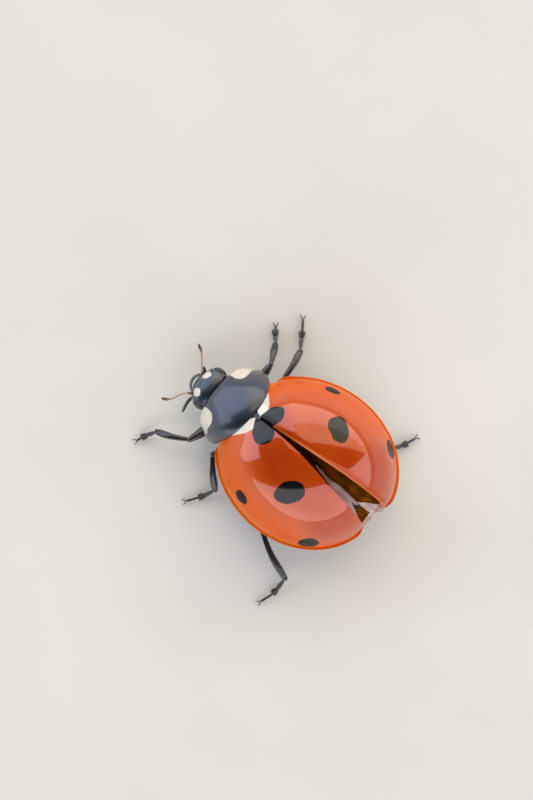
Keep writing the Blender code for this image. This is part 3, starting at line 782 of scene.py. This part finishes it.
# The shield's cream patches, as blobs.
SHIELD_PATCHES = (
    (1.3, -1.52, 0.5, 0.46, 0.0, 2.2),
    (-1.06, -1.55, 0.5, 0.4, 0.0, 2.6),
    (1.48, -1.16, 0.16, 0.2, -10.0, 2.0),
    (-1.3, -1.25, 0.14, 0.2, 10.0, 2.0),
)
REAR_REACH = 0.06  # how far the visible shield reaches back over the cases' front edges
SHIELD_THICK = 0.08
SHIELD_COLUMNS, SHIELD_ROWS = 110, 64
FOLD_LEAST, FOLD_MORE = 0.05, 0.25  # how far the sides fold under: at the corners, and more between
SCUTELLUM_HALF, SCUTELLUM_FRONT_Y, SCUTELLUM_REAR_Y, SCUTELLUM_FOOT_Z = 0.2, -0.26, 0.08, 2.5


def pronotum_point(u, v):
    """A point of the shield: u from -1 to 1 across it, v from its front edge to its rear."""
    half = between(PRONOTUM_FRONT_HALF, PRONOTUM_HALF, sin(radians(112) * v))
    half -= 0.1 * fade(v, 0.1) + 0.07 * fade(1 - v, 0.1)
    x = u * half
    front = PRONOTUM_FRONT_Y + PRONOTUM_FRONT_SWEEP * x * x
    rear = PRONOTUM_REAR_Y + REAR_REACH - PRONOTUM_REAR_SWEEP * abs(x) ** 2.7
    middle = between(PRONOTUM_FRONT_Z, PRONOTUM_REAR_Z, sin(QUARTER_TURN * v))
    z = between(PRONOTUM_SIDE_Z, middle, (1 - abs(u) ** 2.3) ** 0.55)
    z -= 0.05 * bump(v, 0.04) + 0.018 * bump(1 - v, 0.05 / 1.5)
    return Vector((PRONOTUM_X + x, between(front, rear, v), z))


def build_pronotum():
    """The shield: a thin domed plate whose sides fold under to the trunk."""
    grid = []
    for k in range(SHIELD_ROWS + 1):
        v = 0.5 - 0.5 * cos(pi * k / SHIELD_ROWS)
        columns = [sin(QUARTER_TURN * (2 * i / SHIELD_COLUMNS - 1)) for i in range(SHIELD_COLUMNS + 1)]
        row = [pronotum_point(u, v) for u in columns]
        fold = FOLD_LEAST + FOLD_MORE * sin(pi * v) ** 0.7
        stops = [(0.012, -0.025), (-0.01, -0.05)]
        stops += [(-part * fold, -0.06 - drop * fold) for part, drop in ((0.35, 0.1), (1.0, 0.25))]
        right = [row[0] + Vector((-x, 0.0, z)) for x, z in stops[::-1]]
        left = [row[-1] + Vector((x, 0.0, z)) for x, z in stops]
        grid.append(right + row + left)
    marks = [[blob(p.x, p.y, SHIELD_PATCHES) for p in row] for row in grid]
    places = np.array([[tuple(p) for p in row] for row in grid])
    normals = grid_normals(places)
    normals[:3], normals[-3:] = normals[3], normals[-4]  # the end rows bend too sharply
    shape = Shape()
    shape.shell(grid, places - normals * SHIELD_THICK, marks)
    piece("pronotum_shield", shape, [SHIELD], "pronotum")


def build_scutellum():
    """The small triangle between the wing cases' front corners, slightly domed."""
    rows, columns = 10, 12
    rings = []
    for k in range(rows + 1):
        t = k / rows
        y = between(SCUTELLUM_FRONT_Y, SCUTELLUM_REAR_Y, t)
        width = SCUTELLUM_HALF * (1 - t) ** 0.8 + 0.004
        ring = []
        for i in range(columns + 1):
            u = 2 * i / columns - 1
            crown = 0.03 * (1 - u**2) * sin(pi * (0.2 + 0.7 * t)) - 0.05 * (1 - t)
            ring.append(Vector((CASES_X + width * u, y, shell_z(0.1, y) + crown)))
        ring += [Vector((x, y, SCUTELLUM_FOOT_Z)) for x in (ring[-1].x, ring[0].x)]
        rings.append(ring)
    shape = Shape()
    shape.loft(rings, FAR)
    piece("scutellum_plate", shape, [SHIELD], "scutellum")


# Head.


# The head's cream spots, as blobs, and the level that they end at.
HEAD_SPOTS = ((0.58, -2.12, 0.15, 0.11, 39.0, 2.6), (-0.08, -2.22, 0.165, 0.09, -22.7, 2.8))
SPOTS_LOWEST = 1.5
CLYPEUS_HALF, CLYPEUS_REACH, CLYPEUS_STEPS = 0.42, 0.19, 14
CLYPEUS_STOPS = ((0.3, 0.03), (0.05, 0.0), (0.0, -0.04), (0.02, -0.07), (0.26, -0.1))  # back and up
HEAD_TURN = Euler((radians(HEAD_PITCH), 0.0, radians(HEAD_YAW))).to_matrix().to_4x4()
HEAD = Matrix.Translation(HEAD_CENTRE) @ HEAD_TURN


def face_form(point):
    """Raises rims round the eyes and flattens the brow of the head's plain ball."""
    p = Vector(point)
    for side in (1, -1):
        centre = (side * EYE_CENTRE[0], EYE_CENTRE[1], EYE_CENTRE[2])
        reach = hypot(*((p[k] - centre[k]) / (EYE_HALF[k] * 1.08) for k in range(3)))
        p += p.normalized() * 0.03 * bump(reach - 1.18, 0.14)
        if reach < 1.0:
            p -= Vector((side, 0, 0)) * 0.06 * (1 - reach)
    if point.y < 0:
        p.y += 0.035 * bump(point.x, 0.5) * bump(point.z - 0.3, 0.25)
    return p


def build_head():
    """The head's capsule with its cream spots, clypeus, chin plate and palp bases, and the eyes."""
    shape = Shape()
    shape.ball(HEAD, HEAD_HALF, HEAD_POWER, 128, 84, change=face_form)
    shape.marks = [both(blob(p.x, p.y, HEAD_SPOTS), SPOTS_LOWEST - p.z) for p in shape.points]
    # Clypeus: the thin front shelf over the lip.
    rings = []
    for k in range(CLYPEUS_STEPS + 1):
        x = CLYPEUS_HALF * (2 * k / CLYPEUS_STEPS - 1)
        front = -HEAD_HALF[1] * (1 - abs(x / HEAD_HALF[0]) ** HEAD_POWER) ** (1 / HEAD_POWER)
        front -= CLYPEUS_REACH * (1 - (x / CLYPEUS_HALF) ** 4) - 0.01
        rings.append([HEAD @ Vector((x, front + back, z)) for back, z in CLYPEUS_STOPS])
    shape.loft(rings, FAR)
    # Chin plate and the bases of the jaws' palps, on the underside.
    shape.ball(HEAD @ Matrix.Translation((0, -0.16, -0.5)), (0.22, 0.2, 0.09), 2.6, 24, 12, FAR)
    for x in (0.26, -0.26):
        shape.ball(HEAD @ Matrix.Translation((x, -0.26, -0.44)), (0.1, 0.14, 0.09), 2.2, 20, 10, FAR)
    piece("head_capsule", shape, [HEAD_BLACK], "head")
    for name, side in SIDES:
        build_eye(name, side)


FACETS = 700  # on the whole ball of an eye, half of which shows
FACET_RISE = 0.008


def build_eye(name, side):
    """An eye of many small domed lenses, spread evenly over it in a spiral."""
    angles = np.arange(FACETS) * pi * (3 - sqrt(5))
    level = 1 - 2 * (np.arange(FACETS) + 0.5) / FACETS
    flat = np.sqrt(1 - level**2)
    lenses = np.stack([level, flat * np.cos(angles), flat * np.sin(angles)], axis=1)
    spacing = sqrt(4 * pi / FACETS) / 2
    eye = Shape()
    eye.ball(Matrix.Identity(4), (1.0, 1.0, 1.0), 2.0, 200, 110)
    ball = np.array([tuple(p) for p in eye.points])
    gap = np.sqrt(np.maximum(2 - 2 * (ball @ lenses.T).max(axis=1), 0)) / spacing
    centre = HEAD @ Matrix.Translation((side * EYE_CENTRE[0], EYE_CENTRE[1], EYE_CENTRE[2]))
    rise = 1 - FACET_RISE / EYE_HALF[0] * gap**2
    eye.points = [centre @ Vector(p) for p in ball * rise[:, None] * EYE_HALF]
    eye.marks = list(gap)
    piece(f"eye_{name}_facets", eye, [EYE], f"eye_{name}", slot="eye_lens")


# The lip's section as (back from its front edge, up), and its mark: pale at the membrane behind.
LIP_HALF, LIP_X, LIP_STEPS = 0.37, 0.02, 30
LIP_STOPS = (
    (0.44, -0.08), (0.24, -0.065), (0.16, -0.06), (0.14, -0.07),
    (0.07, -0.075), (0.02, -0.1), (0.0, -0.14), (0.03, -0.19),
)
LIP_TONES = [0.3, 1.0, 1.0, 0.0, 0.0, 0.0, 0.0, 0.0, 0.0]
JAW = ((0.34, -0.4, -0.26), (0.31, -0.66, -0.28), (0.14, -0.82, -0.28), (0.02, -0.84, -0.28))


def build_lip():
    """The labrum with the pale membrane behind it, and the jaws' tips below."""
    rings = []
    for k in range(LIP_STEPS + 1):
        s = 2 * k / LIP_STEPS - 1
        front = -0.9 + 0.24 * abs(s) ** 2.2
        thin = 0.11 * (1 - abs(s) ** 3) ** 0.5 + 0.01
        stops = (*LIP_STOPS, (0.44, -0.1 - thin))
        rings.append([HEAD @ Vector((LIP_HALF * s + LIP_X, front + back, z)) for back, z in stops])
    shape = Shape()
    shape.loft(rings, LIP_TONES * len(rings))

    def jaw_half(t):
        taper = (1 - t) ** 0.6
        return 0.09 * taper * min(1, t * 8 + 0.2), 0.07 * taper

    for side in (1, -1):
        path = smooth_path([HEAD @ Vector((side * x, y, z)) for x, y, z in JAW], 16)
        shape.limb(path, jaw_half, 14, 10, mark=0.12)
    piece("labrum_plate", shape, [LIP], "labrum")


# Limbs' widths: each gives the half width and half height a share t along the limb.


def barrel(start, end, neck=0.5):
    """A joint that starts narrow and swells, with rounded ends."""

    def half_at(t):
        wide = between(start, end, t) * between(neck, 1.0, min(1.0, t / 0.45) ** 0.7)
        wide *= sqrt(max(0.0, 1 - max(0.0, (t - 0.85) / 0.15) ** 2)) * min(1.0, t / 0.04 + 0.3)
        return wide, wide

    return half_at


def spike(wide, exponent=0.0):
    """A limb that narrows to a point, or with no exponent keeps its width."""
    return lambda t: (wide * (1 - t) ** exponent, wide * (1 - t) ** exponent)


def round_ends(t, span):
    """Rounds off both ends of a limb over a share span of its length."""
    return sqrt(max(0.0, 1 - (1 - min(t, 1 - t, span) / span) ** 2))


def hatchet(t):
    """A palp's broad last joint."""
    cap = sqrt(max(0.0, 1 - max(0.0, (t - 0.55) / 0.45) ** 2.2)) * min(1.0, t / 0.05 + 0.3)
    return 0.055 * cap, (0.05 + 0.075 * min(t / 0.6, 1.0) ** 1.3) * cap


def femur_half(t):
    swell = (0.6 + 0.4 * sin(pi * min(t * 1.1, 1.0)) ** 0.8) * round_ends(t, 0.1)
    return 0.175 * swell, 0.14 * swell


def tibia_half(t):
    wide = 0.07 + 0.05 * min(t / 0.7, 1.0) ** 1.2 - 0.02 * max(0.0, (t - 0.8) / 0.2)
    wide *= round_ends(t, 0.05)
    return wide, wide * 0.62


def cuff_half(t):
    """The swollen cuff at a shin's end."""
    share = 1 - abs(2 * t - 1) ** 4
    return 0.098 * share, 0.075 * share


def grow_bristles(shape, draw, count, path, span, half_at, length, thick, arc=(0.0, FULL_TURN)):
    """Bristles over a span of a limb and an arc round it, leaning towards the limb's tip."""
    for _ in range(count):
        t = draw.uniform(*span)
        turn = draw.uniform(*arc)
        centre, along, side, over = along_path(path, t)
        wide, high = half_at(t)
        root = ellipse(centre, side, over, wide * 0.94, high * 0.94, [turn])[0]
        out = side * cos(turn) + over * sin(turn)
        reach = length * draw.uniform(0.75, 1.2)
        tip = root + out * reach * 0.62 + along * reach * 0.7
        tip.z = max(tip.z, 0.004)
        patch = (0.05 + 0.9 * t, 0.05 + 0.9 * (turn / FULL_TURN % 1.0))
        shape.hair(root, tip, thick, along * reach * 0.12, patch)


# A feeler's eleven joints as (length, half width at its start and end, tone).
ANTENNA_JOINTS = (
    (0.13, 0.055, 0.068, 1.0), (0.08, 0.044, 0.048, 0.7), (0.12, 0.021, 0.026, 0.15),
    (0.08, 0.021, 0.026, 0.05), (0.08, 0.022, 0.027, 0.0), (0.08, 0.023, 0.028, 0.0),
    (0.08, 0.024, 0.03, 0.0), (0.08, 0.026, 0.034, 0.1), (0.1, 0.036, 0.05, 0.6),
    (0.09, 0.048, 0.058, 0.8), (0.08, 0.052, 0.032, 0.85),
)
ANTENNA_SEEDS = {"left": 3, "right": 4}


def build_antenna(name):
    """A stout base, a thin shaft and a three-jointed club."""
    path = smooth_path(ANTENNAE[name], 60)
    shape, setae = Shape(), Shape()
    at = 0.0
    draw = random.Random(ANTENNA_SEEDS[name])
    for length, start, end, tone in ANTENNA_JOINTS:
        shape.limb(path, barrel(start, end), 12, 14, (at, min(at + length * 1.06, 1.0)), tone)
        span = (at + 0.2 * length, at + 0.95 * length)
        grow_bristles(setae, draw, 9, path, span, spike(end * 0.95), 0.05, 0.0022)
        at += length
    piece(f"antenna_{name}_joints", shape, [FEELER], f"antenna_{name}", slot="tan_cuticle")
    piece(f"antenna_{name}_setae", setae, [BRISTLE], slot="tan_cuticle", coat=True)


def build_palp(name):
    """A maxillary palp of four joints, the last one a broad hatchet."""
    path = smooth_path(PALPS[name], 40)
    shape = Shape()
    shape.limb(path, barrel(0.07, 0.075), 10, 14, (0.0, 0.16), 0.1)
    shape.limb(path, barrel(0.05, 0.07), 12, 14, (0.14, 0.42))
    shape.limb(path, barrel(0.05, 0.07), 12, 14, (0.4, 0.6), 0.1)
    shape.limb(path, hatchet, 22, 18, (0.58, 1.0))
    piece(f"palp_{name}_joints", shape, [LEG], f"palp_{name}")


# Trunk.


NECK, NECK_SHARE, NECK_SINK = 0.1, 0.92, 0.07  # how far a part tucks into the next, and how slim
SIDE_PATCH = (0.28, 1.2, 0.26, 0.14, -20.0, 2.2)  # the cream plate on each side, seen from the side
ROW_STEP = 0.022
BELLY_BORDERS = (2.35, 2.85, 3.28, 3.66, 4.0, 4.3)
ABDOMEN_ROWS = 130
DOWN_HAIRS = 1500


def section_at(table, y):
    """A trunk section at any y, from the listed ones."""
    for a, b in zip(table, table[1:]):
        if y <= b[0]:
            t = max(0.0, (y - a[0]) / (b[0] - a[0]))
            return [between(p, q, t) for p, q in zip(a, b)]
    return table[-1]


def section(y, half, lowest, level, highest, x=0.0, relief=None):
    """A closed ring across the trunk. relief(x, y, below) sinks it, as a share of its size."""
    ring = []
    for turn in turns(72):
        below = sin(turn) < 0
        fullness = BELLY_POWER if below else BACK_POWER
        across = half * power(cos(turn), 2 / fullness)
        rise = power(sin(turn), 2 / fullness) * ((level - lowest) if below else (highest - level))
        sink = relief(across, y, below) if relief else 0.0
        ring.append(Vector((x + across * (1 - sink * 0.4), y, level + rise * (1 - sink * 1.4))))
    return ring


def grooves(y, borders, width=0.03):
    return sum(bump(y - b, width) for b in borders)


def build_trunk(name, table, borders, hips, x):
    """One part of the trunk, with seams, a keel below and the balls that its legs turn in."""
    start, end = table[0][0], table[-1][0]
    rows = int((end - start) / ROW_STEP)

    def relief(across, y, below):
        keel = 0.05 * bump(across, 0.03) if below and y > 0.5 else 0.0
        return 0.06 * grooves(y, borders) + keel

    def neck(numbers, y):
        """A narrower ring that tucks into the next part."""
        _, half, lowest, level, highest = numbers
        return section(y, half * NECK_SHARE, lowest + NECK_SINK, level, highest - NECK_SINK, x)

    sections = [section_at(table, between(start, end, k / rows)) for k in range(rows + 1)]
    rings = [section(*numbers, x, relief) for numbers in sections]
    shape = Shape()
    shape.loft([neck(table[0], start - NECK), *rings, neck(table[-1], end + NECK)])
    shape.marks = [blob(p.y, p.z, [SIDE_PATCH]) if abs(p.x) > 0.9 else FAR for p in shape.points]
    for hip in hips:
        centre, knee = Vector(LEGS[hip][0]), Vector(LEGS[hip][1])
        turn = (knee - centre).normalized().to_track_quat("X", "Z").to_matrix().to_4x4()
        inner = centre.lerp(Vector((x, centre.y, centre.z)), 0.45) + UP * 0.16
        for middle, half in ((centre + UP * 0.1, (0.3, 0.2, 0.2)), (inner, (0.4, 0.19, 0.17))):
            shape.ball(Matrix.Translation(middle) @ turn, half, 2.3, 32, 24, FAR)
    piece(f"{name}_plates", shape, [TRUNK], name)


def build_breast_keel():
    """The narrow plate with two fine ridges between the front hips."""
    shape = Shape()
    for x in (0.07, -0.07):
        path = smooth_path([(PRONOTUM_X + x, y, 0.86) for y in (-1.15, -0.95, -0.7, -0.45)], 12)
        shape.limb(path, spike(0.03), 14, 10, mark=FAR)
    shape.ball(Matrix.Translation((PRONOTUM_X, -0.8, 0.92)), (0.12, 0.38, 0.07), 2.6, 28, 12, FAR)
    piece("prothorax_keel", shape, [TRUNK])


def abdomen_share(y):
    return max((y - ABDOMEN_START) / (ABDOMEN_END - ABDOMEN_START), 0.0)


def abdomen_high(y):
    return between(ABDOMEN_LEVEL, ABDOMEN_HIGH, (1 - abdomen_share(y) ** 2.4) ** 0.5)


def abdomen_top(x, y):
    """Height of the back over a point of the plan."""
    reach = min(abs(x) / ABDOMEN_HALF, 1.0)
    return between(ABDOMEN_LEVEL, abdomen_high(min(y, ABDOMEN_END)), (1 - reach**2.4) ** 0.42)


def belly(along):
    """Half width and lowest level of the abdomen a share along it."""
    return ABDOMEN_HALF * (1 - along**2.6) ** 0.5, between(ABDOMEN_LOW, ABDOMEN_LEVEL, along**3)


def build_abdomen():
    """Belly and back plates, each overlapping the next like tiles."""

    def relief(_across, y, _below):
        step = 0.0
        for a, b in zip((ABDOMEN_START, *BELLY_BORDERS), (*BELLY_BORDERS, ABDOMEN_END)):
            if a <= y < b:
                step = 0.035 * (1 - (y - a) / (b - a))
        return step + 0.05 * grooves(y, BELLY_BORDERS, 0.02)

    rings = []
    for k in range(ABDOMEN_ROWS):
        along = sin(QUARTER_TURN * k / ABDOMEN_ROWS)
        y = between(ABDOMEN_START, ABDOMEN_END, along)
        rings.append(section(y, *belly(along), ABDOMEN_LEVEL, abdomen_high(y), relief=relief))
    shape = Shape()
    shape.loft([*rings, [Vector((0.0, ABDOMEN_END, ABDOMEN_LEVEL))]], FAR)
    piece("abdomen_plates", shape, [TRUNK], "abdomen")


def build_down():
    """Short fine down on the belly and breast."""
    draw = random.Random(11)
    shape = Shape()
    for _ in range(DOWN_HAIRS):
        y = draw.uniform(0.1, 4.5)
        (half, lowest), level = belly(abdomen_share(y)), ABDOMEN_LEVEL
        if y < THORAX[-1][0]:
            _, half, lowest, level, _ = section_at(THORAX, y)
        x = half * draw.uniform(-0.97, 0.97)
        z = level - (level - lowest) * (1 - abs(x / half) ** BELLY_POWER) ** (1 / BELLY_POWER)
        root = Vector((x, y, z + 0.02))
        tip = root + Vector((x / half * 0.35, 0.8, -0.45)) * draw.uniform(0.06, 0.1)
        patch = (0.05 + 0.9 * (x + 1.9) / 3.8, 0.05 + 0.9 * y / 4.6)
        shape.hair(root, tip, 0.0035, Vector((0, 0.01, 0.01)), patch)
    piece("belly_down", shape, [BRISTLE], coat=True)


# Folded hind wings.


# The folded wings' layers: the rise over the back, the pleats' height, the material's slot (0 is
# the smoky membrane and 1 the pale one), then (y, inner x, outer x) stops.
WING_LAYERS = {
    "left": (
        (0.05, 0.02, 0, (0.8, 0.03, 0.9), (2.4, 0.03, 1.0), (4.0, 0.12, 0.95), (4.45, 0.24, 0.72)),
        (0.3, 0.007, 1, (2.5, 0.0, 0.05), (3.17, 0.06, 0.22), (3.6, 0.02, 0.28), (4.05, 0.03, 0.22),
         (4.45, 0.09, 0.13)),
        (0.16, 0.015, 1, (3.5, 0.26, 0.9), (4.0, 0.13, 0.86), (4.4, 0.25, 0.76), (4.78, 0.42, 0.66),
         (4.95, 0.49, 0.6)),
        (0.09, 0.008, 0, (4.42, 0.32, 0.8), (4.6, 0.05, 0.75), (4.78, -0.06, 0.7), (4.96, -0.02, 0.6)),
        (0.06, 0.008, 1, (4.7, 0.1, 0.7), (4.86, -0.04, 0.62), (5.03, -0.02, 0.54), (5.12, 0.1, 0.42)),
    ),
    "right": (
        (0.05, 0.02, 0, (0.8, 0.03, 0.9), (2.4, 0.03, 1.0), (4.0, 0.06, 0.95), (4.7, 0.2, 0.72)),
        (0.36, 0.018, 0, (1.9, 0.3, 0.5), (2.3, 0.12, 0.8), (2.7, 0.0, 0.95), (3.17, -0.1, 0.98),
         (3.6, -0.04, 0.96), (4.2, -0.06, 0.94), (4.42, -0.03, 0.88), (4.6, 0.12, 0.84),
         (4.84, 0.27, 0.7), (5.0, 0.38, 0.56)),
        (0.44, 0.01, 0, (3.0, 0.3, 0.9), (3.8, 0.24, 0.92), (4.5, 0.34, 0.8)),
        (0.2, 0.01, 1, (4.34, -0.05, 0.7), (4.6, -0.05, 0.66), (5.0, 0.0, 0.54), (5.25, 0.24, 0.38)),
    ),
}
WING_ROWS, WING_COLUMNS = 80, 44
MEMBRANE = 0.012
WINGS_LEVEL_Y = 5.0  # where the slope down from the back's end runs out
VEINS = ((0.06, 0.022), (0.3, 0.016), (0.52, 0.02), (0.78, 0.014), (0.95, 0.02))  # place and width
VEIN_RISE, PALE_VEIN = 0.012, 0.25  # how high veins stand, and how strong they are on pale membrane


def wing_layer(shape, side, rise, pleat, slot, stops):
    """One pleated layer of a folded wing, with its veins as thin raised ribs."""
    inner, outer = (smooth_path([(stop[n], stop[0], 0.0) for stop in stops], WING_ROWS) for n in (1, 2))
    top, marks = [], []
    for k, (a, b) in enumerate(zip(inner, outer)):
        row, row_marks = [], []
        settled = 1 - 0.35 * (k / WING_ROWS) ** 3
        for i in range(WING_COLUMNS + 1):
            t = i / WING_COLUMNS
            p = a.lerp(b, t)
            slope = 0.8 * min(max(WINGS_LEVEL_Y - p.y, 0.0), 0.7)
            ripple = sin(17.0 * t + 2.2 * p.y) + 0.5 * sin(31.0 * t - 5.0 * p.y)
            vein = max(bump((t - at) * (b - a).length, wide) for at, wide in VEINS)
            vein *= PALE_VEIN if slot else 1.0
            p.z = max(abdomen_top(p.x, p.y), RIM_Z + 0.1 + slope) + rise * settled
            p.z += pleat * settled * ripple - 0.05 * t * t
            p.z += VEIN_RISE * vein
            row.append(Vector((side * p.x, p.y, p.z)))
            row_marks.append(vein)
        top.append(row)
        marks.append(row_marks)
    shape.shell(top, [[p - UP * MEMBRANE for p in row] for row in top], marks, 0.0, slot)


def build_hindwing(name, side):
    shape = Shape()
    for rise, pleat, slot, *stops in WING_LAYERS[name]:
        wing_layer(shape, side, rise, pleat, slot, stops)
    films = [WING_SMOKY, WING_PALE]
    piece(f"hindwing_{name}_folds", shape, films, f"hindwing_{name}", slot="wing_membrane")


# Legs.


HIP_SHARE = 0.1  # the femur starts this far down its path
LOBE_LENGTH, LOBE_SPREAD, LOBE_DROP = 0.26, 0.055, 0.06
# A claw and its tooth, from the claw joint's end: ahead, to the side, up.
CLAW_STOPS = ((0.0, 0.018, 0.0), (0.06, 0.06, 0.015), (0.12, 0.085, -0.02))
CLAW_TIP, CLAW_TIP_Z = (0.135, 0.08, 0.0), 0.006
TOOTH_STOPS = ((0.0, 0.03, 0.0), (0.05, 0.045, -0.035))


def build_leg(name):
    """Femur with its trochanter, tibia, and a foot with lobed pad, claw joint and two claws."""
    hip, knee, bend, ankle, pad, joint, tip = (Vector(p) for p in LEGS[name])
    draw = random.Random(sum(map(ord, name)))
    thigh = smooth_path((hip, hip.lerp(knee, 0.5) + UP * 0.04, knee), 20)
    shin = smooth_path((knee, bend, ankle), 20)
    femur, tibia, foot, setae = Shape(), Shape(), Shape(), Shape()
    femur.limb(thigh, femur_half, 40, 24, (HIP_SHARE, 1.03))
    femur.ball(Matrix.Translation(along_path(thigh, 0.14)[0]), (0.15, 0.15, 0.15), 2.0, 24, 14, 0.2)
    tibia.limb(shin, tibia_half, 44, 22)
    tibia.ball(Matrix.Translation(along_path(shin, 0.01)[0]), (0.088, 0.088, 0.085), 2.0, 20, 12, 0.35)
    above, below = (bend - ankle).normalized() * 0.06, (pad - ankle).normalized() * 0.03
    tibia.limb(smooth_path((ankle + above, ankle, ankle + below), 6), cuff_half, 12, 20, mark=0.3)

    # The foot: a conical first joint, a bilobed second one, and the slim claw joint between its lobes.
    first = smooth_path((ankle, ankle.lerp(pad, 0.5) - UP * 0.02, pad), 12)
    foot.limb(first, barrel(0.05, 0.085), 18, 16, mark=0.1)
    run = (joint - pad).normalized()
    across = run.cross(UP).normalized()
    for side in (1, -1):
        end = pad + run * LOBE_LENGTH + across * side * LOBE_SPREAD - UP * LOBE_DROP
        lobe = smooth_path((pad - run * 0.05, pad.lerp(end, 0.5) + across * side * 0.03, end), 12)
        foot.limb(lobe, barrel(0.045, 0.056, 0.7), 16, 14, mark=0.15)
        sole = (1.05 * pi, 1.95 * pi)
        grow_bristles(setae, draw, 34, lobe, (0.25, 1.0), spike(0.055), 0.05, 0.003, sole)
    top = joint + UP * 0.05
    base = tip - (tip - top).normalized() * 0.1 + UP * 0.03
    shaft = smooth_path((pad + UP * 0.03, top, base), 16)
    foot.limb(shaft, barrel(0.034, 0.05, 0.7), 22, 14, mark=0.1)
    heading = base - top
    heading.z = 0.0
    heading.normalize()
    across = heading.cross(UP).normalized()
    for side in (1, -1):
        stops = [base + heading * u + across * side * v + UP * w for u, v, w in (*CLAW_STOPS, CLAW_TIP)]
        stops[-1].z = CLAW_TIP_Z
        foot.limb(smooth_path(stops, 18), spike(0.024, 0.7), 16, 10, mark=0.55)
        tooth = [base + heading * u + across * side * v + UP * w for u, v, w in TOOTH_STOPS]
        foot.limb(smooth_path(tooth, 4), spike(0.016, 0.6), 8, 8, mark=0.5)

    bristle_sets = (
        (150, shin, (0.12, 0.97), tibia_half, 0.075, 0.0034),
        (70, thigh, (0.37, 1.0), lambda t: femur_half((t - HIP_SHARE) / (1 - HIP_SHARE)), 0.06, 0.003),
        (46, first, (0.3, 0.98), spike(0.07), 0.055, 0.003),
        (14, shaft, (0.4, 0.95), spike(0.045), 0.06, 0.003),
    )
    for numbers in bristle_sets:
        grow_bristles(setae, draw, *numbers)
    for part, shape in (("femur", femur), ("tibia", tibia), ("tarsus", foot)):
        piece(f"{name}_{part}_skin", shape, [LEG], f"{name}_{part}")
    piece(f"{name}_setae", setae, [BRISTLE], coat=True)


# Stage, light and camera.


FRAME_HIGH, SENSOR = 80 / 3, 36.0  # millimetres taken in from top to bottom, and on the sensor
DISTANCE = 180.0
AIM_Z, AIM_RIGHT, AIM_UP = 2.9, 0.273, 0.557
SIDE_TILT = radians(4.5)
TURN = radians(39.184373)  # of the view about its own axis
VIEW = Vector((sin(SIDE_TILT), 0.0, cos(SIDE_TILT)))
LEFT = Vector((cos(SIDE_TILT), 0.0, -sin(SIDE_TILT)))
RIGHT = Vector((0.0, cos(TURN), 0.0)) - LEFT * sin(TURN)
DOWN = Vector((0.0, sin(TURN), 0.0)) + LEFT * cos(TURN)
FLOOR_SIZE = 0.9
LIGHT_CENTRE, LIGHT_HEIGHT = (CASES_X, 1.0, 1.5), 0.4
PANE_TURN, REAR_TURN = 12.0, 21.0
COOL, WARM = (0.88, 0.95, 1.15), (1.06, 0.97, 0.84)
# Panes in front, all turned alike: place across and up, width, height, brightness and tint.
PANES = {
    "window_front": (-2.02, 2.14, 3.96, 3.72, 1.8, COOL),
    "window_sill": (-2.27, 0.187, 3.45, 0.187, 1.8, COOL),
    "window_side": (1.95, 2.225, 3.98, 3.55, 2.2, WARM),
    "window_ledge": (1.95, 0.29, 3.98, 0.32, 1.45, (1.12, 0.93, 0.62)),
}


def facing_down(centre):
    """Looking down the camera's line of sight from a place in the frame."""
    matrix = Matrix((RIGHT, -DOWN, VIEW)).transposed().to_4x4()
    matrix.translation = centre
    return matrix


def build_camera():
    """Nearly straight above, turned so that the head points to the upper left."""
    aim = UP * AIM_Z + RIGHT * AIM_RIGHT - DOWN * AIM_UP
    data = bpy.data.cameras.new("camera")
    data.lens = SENSOR * DISTANCE / FRAME_HIGH
    data.clip_start, data.clip_end = 0.005, 20.0
    camera = add_object("camera", data)
    camera.matrix_world = facing_down(place(aim + VIEW * DISTANCE))
    bpy.context.scene.camera = camera


def softbox(name, right, up, wide, high, brightness, tint, turn):
    """A rectangular light in a plane across the view axis, right and up of it by so many metres."""
    data = bpy.data.lights.new(name, "AREA")
    data.shape = "RECTANGLE"
    data.size, data.size_y = wide, high
    data.energy = brightness * pi * wide * high
    data.color = tint
    matrix = facing_down(place(LIGHT_CENTRE) + VIEW * LIGHT_HEIGHT + RIGHT * right - DOWN * up)
    add_object(name, data).matrix_world = matrix @ Matrix.Rotation(radians(turn), 4, "Z")


def build_stage():
    """The floor, a pale sky that darkens upwards, and large soft windows before and behind."""
    bpy.ops.mesh.primitive_plane_add(size=FLOOR_SIZE, location=(0.0, 0.0, 0.0))
    floor = bpy.context.object
    floor.name = "floor"
    floor.data.materials.append(floor_finish())
    bpy.context.scene.view_settings.view_transform = "Standard"
    world = bpy.data.worlds.new("studio")
    world.use_nodes = True
    tree = world.node_tree
    height = add_node(tree, "SeparateXYZ", {0: add_node(tree, "TexCoord")["Generated"]})["Z"]
    fall = {"Value": height, "From Max": 0.4, "To Min": 0.45, "To Max": 0.04}
    strength = add_node(tree, "MapRange", fall, interpolation_type="SMOOTHSTEP")["Result"]
    background = tree.nodes["Background"].inputs
    background["Color"].default_value = (0.93, 0.96, 1.0, 1.0)
    tree.links.new(strength, background["Strength"])
    bpy.context.scene.world = world
    for name, (across, up, *numbers) in PANES.items():
        softbox(name, *turned(across, up, -PANE_TURN), *numbers, PANE_TURN)
    softbox("window_rear", 0.82, -2.05, 7.0, 4.0, 1.62, (0.99, 0.99, 1.04), REAR_TURN)


# The whole animal.


build_stage()
build_camera()
for side_name, side_sign in SIDES:
    build_case(side_name, side_sign)
    build_hindwing(side_name, side_sign)
    build_antenna(side_name)
    build_palp(side_name)
build_pronotum()
build_scutellum()
build_head()
build_lip()
build_trunk("prothorax", PROTHORAX, (), ("fore_left", "fore_right"), PRONOTUM_X)
build_trunk("thorax", THORAX, (0.35, 1.25), ("mid_left", "mid_right", "hind_left", "hind_right"), 0.0)
build_breast_keel()
build_abdomen()
build_down()
for leg_name in LEGS:
    build_leg(leg_name)
